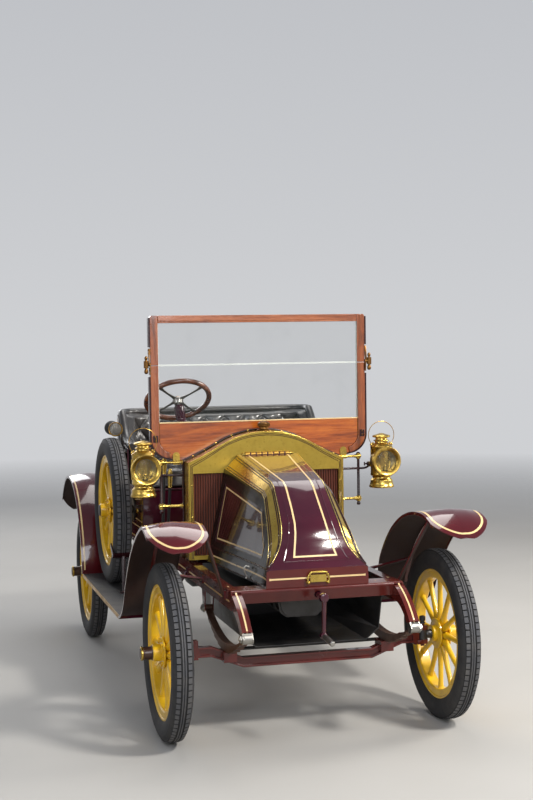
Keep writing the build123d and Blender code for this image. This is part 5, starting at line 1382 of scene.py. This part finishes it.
def seat_back():
    """Buttoned tub in a painted shell, with a rolled leather edge."""
    outside, middle, inside_plan = tub_plan(0.008, 0.112), tub_plan(0.034, 0.1), tub_plan(0.07, 0.086)
    pad = Shape()
    pad.skin([[Vector((i.x, i.y, 0.886)), Vector((i.x, i.y, arm_height(i.y) - 0.03)),
               Vector((m.x, m.y, arm_height(m.y) - 0.012)), Vector((o.x, o.y, arm_height(o.y) - 0.022)),
               Vector((o.x, o.y, 0.886))] for i, m, o in zip(inside_plan, middle, outside)])
    pad = stuffed(pad, 0.0085, 3.0, 0.016)
    lengths = [0.0]
    for first, last in zip(inside_plan, inside_plan[1:]):
        lengths.append(lengths[-1] + (last - first).length)
    middle_length = lengths[-1] / 2

    def around(point):
        best = None
        for index, (first, last) in enumerate(zip(inside_plan, inside_plan[1:])):
            along = last - first
            flat = Vector((point.x, point.y, 0))
            share = min(1.0, max(0.0, (flat - first).dot(along) / along.length_squared))
            near = first + along * share
            gap = (flat - near).length
            if best is None or gap < best[0]:
                inward = Vector((-along.y, along.x, 0)).normalized()
                best = (gap, lengths[index] + along.length * share - middle_length, inward)
        return best

    def where(point, normal):
        gap, length, inward = around(point)
        edge = min(arm_height(point.y) - 0.035 - point.z, point.z - 0.93)
        facing = max(0.0, normal.dot(inward) * tub_side)
        return length, point.z - 1.02, facing * min(1.0, max(0.0, edge / 0.025)) if gap < 0.03 else 0.0

    tub_side = 1.0 if Vector(AHEAD).dot(around(Vector((0, 1.62, 1)))[2]) > 0 else -1.0
    spots = []
    for row in range(4):
        height = 0.965 + row * 0.055
        for column in range(-9, 10):
            length = column * BUTTON_GAP + (BUTTON_GAP / 2 if row % 2 else 0.0) + middle_length
            if not 0.06 < length < lengths[-1] - 0.06:
                continue
            index = max(i for i, value in enumerate(lengths[:-1]) if value <= length)
            first, last = inside_plan[index], inside_plan[index + 1]
            near = first.lerp(last, (length - lengths[index]) / (lengths[index + 1] - lengths[index]))
            inward = Vector((-(last - first).y, (last - first).x, 0)).normalized() * tub_side
            if height < arm_height(near.y) - 0.05:
                spots.append((near + inward * 0.06 + Vector((0, 0, height)), -inward))
    buttons = tufted(pad, spots, where, 0.1, 0.11, 0.01)
    made = pad.done("seat_back_hide", LEATHER, "seat_back", "black_leather", sharp=60)
    buttons.done("seat_back_buttons", LEATHER, slot="black_leather")

    roll = Shape()
    roll.tube([(m.x, m.y, arm_height(m.y) - 0.02) for m in tub_plan(0.024, 0.1)], 0.02, 16)
    roll.done("seat_back_roll", LEATHER, slot="black_leather", bevel=0.004, segments=2)

    shell = Shape()
    rows, thick = tub_plan(0.0, 0.12), tub_plan(0.006, 0.116)
    shell.skin([[Vector((a.x, a.y, 0.882)), Vector((a.x, a.y, arm_height(a.y) - 0.026)),
                 Vector((b.x, b.y, arm_height(b.y) - 0.026)), Vector((b.x, b.y, 0.882))]
                for a, b in zip(rows, thick)])
    shell.done("seat_shell", MAROON, slot="maroon_paint", bevel=0.0012)
    lining = Shape()
    for height in (lambda y: arm_height(y) - 0.05, lambda y: 0.912):
        laid = [(Vector((a.x, a.y, height(a.y))), (a - b).normalized()) for a, b in zip(rows, thick)]
        lining.line(laid[1:-1], 0.0065)
    lining.done("seat_shell_lining", STRIPE, slot="maroon_paint")


# Body

def body():
    """Seat box, tail locker, floor and their lining, hinges and mouldings."""
    for node in ("seat_box", "rear_locker"):
        soften(node, MAROON, 0.004, "maroon_paint")
    soften("floor_boards", FLOOR_WOOD, 0.001, "floor_wood")
    box, locker = Surface("seat_box"), Surface("rear_locker")
    lines, trim = Shape(), Shape()
    for side in SIDES:
        x = side * 0.5
        for outline in (((1.122, 0.832), (1.44, 0.798), (1.44, 0.722), (1.13, 0.722), (1.122, 0.832)),
                        ((1.48, 0.842), (1.668, 0.842), (1.69, 0.722), (1.48, 0.722), (1.48, 0.842)),
                        ((1.17, 0.69), (1.7, 0.69), (1.708, 0.635), (1.184, 0.635), (1.17, 0.69))):
            lines.line(box.lay([(x, y, z) for y, z in outline], (-side, 0, 0)), 0.006)
        outline = [(1.8, 0.655), (1.77, 0.86), (2.24, 0.86), (2.285, 0.82), (2.3, 0.655), (1.8, 0.655)]
        lines.line(locker.lay([(x, y, z) for y, z in outline], (-side, 0, 0)), 0.006)
    lines.line(locker.lay([(-0.34, 2.5, 0.66), (0.34, 2.5, 0.66), (0.34, 2.5, 0.8), (-0.34, 2.5, 0.8),
                           (-0.34, 2.5, 0.66)], AHEAD), 0.006)
    lines.done("body_lining", STRIPE, slot="maroon_paint")

    top, edge = 0.872, 0.4705
    seam = [(0.3805, 1.72, top), (0.3805, 2.262, top)]
    trim.tube(seam + [(0.37, 2.307, top), (-0.37, 2.307, top)] + [(-x, y, z) for x, y, z in reversed(seam)],
              0.003, 10)
    for side in SIDES:
        trim.tube([(side * edge, 1.108, top), (side * edge, 1.7, top)], 0.0042, 10)
        trim.tube([(side * edge, 1.15, 0.612), (side * edge, 1.735, 0.612)], 0.0042, 10)
    trim.tube([(-edge, 1.1005, top), (edge, 1.1005, top)], 0.0042, 10)
    trim.finish = 1
    for x in (-0.22, 0.22):
        trim.box((x - 0.018, 1.735, 0.915), (x + 0.018, 1.8, 0.9175))
        trim.turned(both_ways([(-0.02, 0.005), (-0.018, 0.006)]), (x, 1.73, 0.9175), LEFT, 16)
        for y in (1.752, 1.784):
            trim.turned([(0, 0.0038), (0.001, 0.0034), (0.0016, 0)], (x, y, 0.9172), UP, 12)
    trim.turned([(0, 0.016), (0.003, 0.016), (0.0045, 0.014), (0.005, 0.008), (0.011, 0.007),
                 (0.014, 0.011), (0.018, 0.0115), (0.0205, 0.008), (0.021, 0.0)], (0, 2.315, 0.84),
                (0, 1, 0.1), 28)
    for side in SIDES:
        trim.turned([(0, 0.013), (0.0025, 0.013), (0.004, 0.01), (0.0045, 0)], (side * 0.47, 1.255, 0.762),
                    (side, 0, 0), 20)
    trim.done("body_mouldings", [BEAD, BRASS], slot="brass", bevel=0.0006, segments=1)


def engine():
    """Two cylinder blocks on a ribbed crankcase, with manifolds, plugs and water pipes."""
    blocks = (0.17, 0.392)
    iron = Shape()
    iron.skin([[(-0.085, y, 0.47), (-0.062, y, 0.441), (0.062, y, 0.441), (0.085, y, 0.47), (0.1, y, 0.545),
                (0.1, y, 0.598), (-0.1, y, 0.598), (-0.1, y, 0.545)] for y in (0.072, 0.488)])
    for y in (0.085, 0.175, 0.28, 0.385, 0.475):
        iron.skin([[(-0.092, y + d, 0.462), (-0.066, y + d, 0.4405), (0.066, y + d, 0.4405),
                    (0.092, y + d, 0.462), (0.108, y + d, 0.545), (0.108, y + d, 0.592),
                    (-0.108, y + d, 0.592), (-0.108, y + d, 0.545)] for d in (-0.006, 0.006)])
    iron.box((-0.112, 0.066, 0.59), (0.112, 0.494, 0.602))
    for pair_y in blocks:
        outline = [(0.062 * cos(turn), pair_y + (0.034 if sin(turn) > 0 else -0.034) + 0.058 * sin(turn))
                   for turn in (2 * pi * (step + 0.5) / 36 for step in range(36))]
        iron.skin([[(x * grow, pair_y + (y - pair_y) * grow, z) for x, y in outline]
                   for grow, z in ((1.06, 0.6), (1.06, 0.612), (0.96, 0.614), (0.96, 0.735), (0.9, 0.752),
                                   (0.6, 0.76))])
        for x, turn_side in ((-0.104, -1), (0.092, 1)):
            iron.turned([(0, 0.013), (0.006, 0.013), (0.008, 0.009), (0.045, 0.009)], (x * 0.5, pair_y, 0.7),
                        (turn_side, 0, 0), 16)
    iron.finish = 1
    for pair_y in blocks:
        for y in (pair_y - 0.045, pair_y + 0.045):
            iron.turned([(0, 0.017), (0.01, 0.017), (0.012, 0.014), (0.016, 0.008), (0.03, 0.006),
                         (0.032, 0.0)], (-0.022, y, 0.756), UP, 6)
            iron.turned([(0, 0.0075), (0.018, 0.0075), (0.02, 0.004), (0.033, 0.0035), (0.033, 0.0)],
                        (0.024, y, 0.756), UP, 12)
    iron.tube(smooth_path([(0.0, 0.11, 0.772), (0.0, 0.25, 0.78), (0.0, 0.4, 0.78), (0.0, 0.49, 0.76)], 8),
              0.012, 14)
    iron.finish = 2
    iron.tube([(-0.098, 0.1, 0.7), (-0.098, 0.47, 0.7), (-0.098, 0.488, 0.68), (-0.096, 0.492, 0.64)],
              0.018, 16)
    iron.finish = 1
    iron.tube([(0.096, 0.12, 0.7), (0.096, 0.44, 0.7)], 0.014, 16)
    iron.turned([(0, 0.02), (0.04, 0.02), (0.044, 0.024), (0.05, 0.024), (0.052, 0.012), (0.06, 0.0)],
                (0.096, 0.28, 0.628), UP, 24)
    iron.finish = 0
    for y in (0.075, 0.485):
        iron.box((-0.117, y - 0.012, 0.56), (0.117, y + 0.012, 0.58))
    iron.done("engine_castings", [IRON, BRASS, BLACK], "engine", "castings", bevel=0.0015)


# Half length of the front springs between their eyes, and the height of the eyes
SPRING_HALF, EYE_Z = 0.336, 0.452


def fittings():
    """Frame rails and their lining, spring nuts, undertray with a black sheet behind the engine as painted
    shade, and the spare wheel's clamp.
    """
    frame_side = Surface("chassis_frame")
    lines = Shape()
    for side in SIDES:
        x = side * 0.45
        lines.line(frame_side.lay([(x, -0.14, 0.56), (x, 2.42, 0.56)], (-side, 0, 0), 0.02), 0.0065)
        mid = side * 0.333
        lines.line(frame_side.lay([(mid, -0.105, 0.72), (mid, -0.3, 0.66), (mid, -0.44, 0.5)],
                                  (0, 0.55, -0.835), 0.01), 0.0065)
    lines.done("frame_lining", STRIPE, slot="frame_paint")

    nuts = Shape()
    for side in SIDES:
        for y in (-SPRING_HALF, SPRING_HALF, REAR - SPRING_HALF, REAR + SPRING_HALF):
            nuts.turned([(-0.002, 0.019), (0.002, 0.019), (0.003, 0.0175)], (side * 0.353, y, EYE_Z),
                        (side, 0, 0), 28)
            nuts.turned([(0.002, 0.015), (0.0085, 0.015), (0.01, 0.013), (0.01, 0.007), (0.0135, 0.0065),
                         (0.014, 0.0)], (side * 0.353, y, EYE_Z), (side, 0, 0), 6)
        nuts.turned(both_ways([(-0.0165, 0.0), (-0.0165, 0.019), (-0.015, 0.0208)]),
                    (side * 0.333, -SPRING_HALF, EYE_Z), LEFT, 32)
    nuts.finish = 1
    for side in SIDES:
        nuts.turned([(0.0, 0.0125), (0.004, 0.0125), (0.005, 0.009), (0.01, 0.009), (0.011, 0.013),
                     (0.026, 0.013), (0.03, 0.0095), (0.0315, 0.0)], (side * 0.495, 0, 0.396), UP, 24)
    nuts.done("frame_nuts", [STEEL, BLACK], slot="bare_steel", bevel=0.0005, segments=1)

    rails = cad_shape("chassis_frame")
    rails.finish_where(1, lambda where, normal: (where - Vector((where.x, -SPRING_HALF,
                                                                 EYE_Z))).length < 0.0235)
    rails.flatten()
    rails.done("frame_rails", [BROWN_MAROON, STEEL], "chassis_frame", "frame_paint", bevel=0.0015)

    tray = cad_shape("undertray")
    # A black sheet across the bay behind the engine: painted shade where the floor under the car would show
    outline = both_ways([(0.3, 0.6), (0.298, 0.528), (0.283, 0.401), (0.229, 0.358)])
    tray.plate([(x, 0.59, z) for x, z in outline], (0, 0.0015, 0))
    tray.done("tray_sheets", BLACK, "undertray", bevel=0.0005, segments=1)

    clamp = cad_shape("spare_bracket")
    clamp.finish_where(1, lambda where, normal: where.x >= -0.53 or where.z >= 0.72)
    clamp.done("spare_clamp", [BEAD, STEEL_DARK], "spare_bracket", "bare_steel", bevel=0.0012)


def horn():
    """Bulb horn: ringed brass bell with a wire mesh mouth, reed tube, iron and rubber bulb."""
    start = Vector((-0.553, 1.35, 1.15))
    brass = Shape()
    brass.turned([(0.0045, 0.029), (0.002, 0.0315), (0.0002, 0.0332), (0.002, 0.035), (0.006, 0.035),
                  (0.0085, 0.0335), (0.012, 0.03), (0.016, 0.0262), (0.018, 0.0225), (0.02, 0.0225),
                  (0.0215, 0.0205), (0.03, 0.0185), (0.0315, 0.02), (0.034, 0.02), (0.0355, 0.017),
                  (0.048, 0.0158), (0.07, 0.0138), (0.084, 0.0126), (0.085, 0.016), (0.09, 0.0165),
                  (0.095, 0.016), (0.096, 0.011), (0.096, 0.0)], start, BACK, 48)
    brass.turned([(0.004, 0.03), (0.006, 0.027), (0.016, 0.021), (0.03, 0.014), (0.032, 0.0)], start,
                 BACK, 32)
    brass.finish = 1
    brass.turned([(0.0046, 0.0295), (0.004, 0.029), (0.002, 0.015), (0.0014, 0.0)], start, BACK, 32)
    brass.finish = 2
    brass.rod((-0.515, 1.4, 1.05), (-0.515, 1.4, 1.154), 0.005, sides=16)
    brass.rod((-0.513, 1.4, 1.15), (-0.537, 1.4, 1.15), 0.0055, sides=16)
    brass.box((-0.512, 1.388, 1.046), (-0.508, 1.412, 1.08))
    brass.finish = 3
    for z in (1.054, 1.072):
        brass.turned([(0, 0.0045), (0.001, 0.004), (0.0017, 0)], (-0.5118, 1.4, z), (-1, 0, 0), 12)
    brass.done("horn_brass", [OLD_BRASS, MESH, STEEL_DARK, STEEL], "horn_trumpet", "brass", bevel=0.0004,
               segments=1)
    bulb = Shape()
    bulb.turned([(0.0952, 0.0), (0.0952, 0.012), (0.0975, 0.014), (0.1, 0.015), (0.103, 0.0205),
                 (0.108, 0.0265), (0.114, 0.0312), (0.121, 0.034), (0.129, 0.035), (0.1296, 0.0346),
                 (0.1302, 0.035), (0.137, 0.0347), (0.145, 0.032), (0.152, 0.0285), (0.158, 0.0225),
                 (0.162, 0.0165), (0.1642, 0.009), (0.1648, 0.0)], start, BACK, 40)
    bulb.done("horn_rubber", BLACK_RUBBER, "horn_bulb", "horn_rubber")


def levers():
    """Brake and gear levers with turned grips, their toothed quadrant, and the starting handle."""
    iron = Shape()
    for x, reach, top in ((-0.373, 0.93, 0.9), (-0.395, 0.95, 0.96)):
        foot, bend = Vector((x, 1.03, 0.58)), Vector((x, reach, top))
        end = Vector((x, reach - 0.012, top + 0.09))
        path = smooth_path([foot, foot.lerp(bend, 0.6), bend, bend.lerp(end, 0.5)], 6)
        iron.tube(path, 0.0068, 12)
        iron.finish = 1
        iron.turned([(0.0, 0.007), (0.004, 0.01), (0.01, 0.0085), (0.03, 0.0108), (0.06, 0.011),
                     (0.078, 0.009), (0.084, 0.007), (0.088, 0.0085), (0.0905, 0.0)], bend, end - bend, 24)
        iron.finish = 0
        iron.rod((x - 0.008, 1.03, 0.6), (x + 0.008, 1.03, 0.6), 0.015, sides=20)
    iron.box((-0.409, 0.986, 0.54), (-0.353, 1.074, 0.584))
    for index in range(9):
        y = 1.03 + 0.046 * cos(radians(28 + index * 15))
        iron.box((-0.386, y - 0.0025, 0.584), (-0.381, y + 0.0025, 0.589))
    iron.done("lever_irons", [BLACK, BRASS], "hand_levers", "bare_steel", bevel=0.0012)

    handle = Shape()
    hub_z = 0.571
    handle.turned([(0.0, 0.011), (0.1, 0.011), (0.104, 0.0165), (0.112, 0.0185), (0.128, 0.019),
                   (0.138, 0.0165), (0.144, 0.0)], (0, -0.11, hub_z), AHEAD, 28)
    handle.rod((0, -0.239, hub_z), (0, -0.229, 0.424), 0.0095, 0.008, 14)
    handle.turned(both_ways([(-0.013, 0.01), (-0.01, 0.014)]), (0, -0.229, 0.42), AHEAD, 20)
    handle.box((-0.03, -0.13, 0.553), (0.03, -0.1, 0.598))
    handle.finish = 1
    handle.turned([(0.0, 0.01), (0.004, 0.012), (0.012, 0.0105), (0.045, 0.0122), (0.085, 0.0118),
                   (0.1, 0.0095), (0.108, 0.011), (0.113, 0.008), (0.115, 0.0)], (0, -0.232, 0.4196),
                  (0, -0.117, -0.009), 24)
    handle.done("crank_iron", [MAROON, STEEL], "starting_handle", "frame_paint", bevel=0.001, segments=1)


# The car

for pane in ("windscreen_glass_lower", "windscreen_glass_upper"):
    paint_node(pane, GLASS)
for node, (finish, bevel) in KEPT_SHAPES.items():
    soften(node, finish, bevel)
for end in ("front", "rear"):
    for hand, side in (("left", 1), ("right", -1)):
        wheel = "wheel_" + end + "_" + hand
        wheel_piece(wheel, wheel, side, end == "rear")
        tyre_piece("tyre_" + end + "_" + hand, wheel)
wheel_piece("spare_wheel", "chassis", -1)
tyre_piece("spare_tyre", "chassis")
for make in (bonnet, radiator, dash, windscreen, lamps, lamp_irons, steering, fenders, running_boards,
             cushion, seat_back, body, engine, fittings, horn, levers):
    make()
soften("pedals", STEEL, 0.0015, "bare_steel", "pedal_irons")


# Floor, light and camera

def studio():
    """Pale round floor that fades into the pale surroundings, and soft lights all round."""
    bm = bmesh.new()
    bmesh.ops.create_circle(bm, cap_ends=True, segments=96, radius=14.0)
    mesh = bpy.data.meshes.new("floor")
    bm.to_mesh(mesh)
    bm.free()
    floor = bpy.data.objects.new("floor", mesh)
    scene.collection.objects.link(floor)
    paint = Paint("pale floor", Roughness=0.75)
    where = paint.place()
    reach = paint.node("ShaderNodeVectorMath", {"operation": "LENGTH"}, {0: where}, "Value")
    cloud = paint.noise(where, 1.3, 4, 0.5)
    paint.set(Base_Color=paint.mix((0.4, 0.39, 0.37), (0.46, 0.45, 0.43), cloud),
              Alpha=paint.clamp(reach, 5.0, 13.0, 1.0, 0.0))
    mesh.materials.append(paint.material)

    sky = Paint("studio", "worlds", "Background")
    scene.world = sky.material
    height = sky.node("ShaderNodeSeparateXYZ", {}, {0: sky.node("ShaderNodeTexCoord", output="Generated")},
                      "Z")
    camera_ray, glossy_ray, transmission_ray = (
        sky.node("ShaderNodeLightPath", output=way)
        for way in ("Is Camera Ray", "Is Glossy Ray", "Is Transmission Ray"))
    shown = camera_ray + glossy_ray + transmission_ray
    sky.set(Color=sky.ramp(height, (0.0, (0.62, 0.63, 0.65)), (0.9, (0.26, 0.28, 0.33))),
            Strength=sky.clamp(shown, 0.0, 1.0, 0.55, 1.0))

    # name, place, size, power and colour of each soft light
    for name, place, size, watts, colour in (
            ("overhead", (0.6, 1.6, 5.2), 3.0, 110.0, (1.0, 0.98, 0.95)),
            ("front", (-0.4, -6.2, 3.0), 2.6, 130.0, (0.9, 0.94, 1.0)),
            ("key", (2.6, -4.2, 4.6), 0.8, 300.0, (1.0, 0.96, 0.9)),
            ("right", (5.4, -0.8, 3.2), 2.0, 210.0, (1.0, 0.95, 0.88)),
            ("left", (-5.6, -3.4, 2.6), 2.0, 60.0, (0.93, 0.96, 1.0)),
            ("rear", (-1.5, 6.0, 3.4), 3.0, 110.0, (0.97, 0.98, 1.0))):
        light = bpy.data.lights.new(name, "AREA")
        light.shape = "SQUARE"
        light.size = size
        light.energy = watts
        light.color = colour
        lamp = bpy.data.objects.new(name, light)
        lamp.location = place
        lamp.rotation_mode = "QUATERNION"
        lamp.rotation_quaternion = (Vector((0, 0, 0.6)) - Vector(place)).to_track_quat("-Z", "Y")
        scene.collection.objects.link(lamp)


def camera():
    """The photograph's view: its place from the front axle, its turns, and its lens."""
    place = Vector((-1.6172, FRONT - 5.509, 1.5689))
    yaw, pitch, roll = 0.2592, 0.0416, -0.0138
    right = Vector((cos(yaw), -sin(yaw), 0))
    ahead = Vector((sin(yaw) * cos(pitch), cos(yaw) * cos(pitch), -sin(pitch)))
    up = right.cross(ahead)
    side = right * cos(roll) + up * sin(roll)
    top = up * cos(roll) - right * sin(roll)
    data = bpy.data.cameras.new("camera")
    data.sensor_width = 36.0
    data.lens = 64.5
    data.clip_end = 200.0
    made = bpy.data.objects.new("camera", data)
    turn = Matrix((side, top, -ahead)).transposed().to_4x4()
    made.matrix_world = Matrix.Translation(place) @ turn
    scene.collection.objects.link(made)
    scene.camera = made


studio()
camera()
scene.view_settings.view_transform = "Standard"
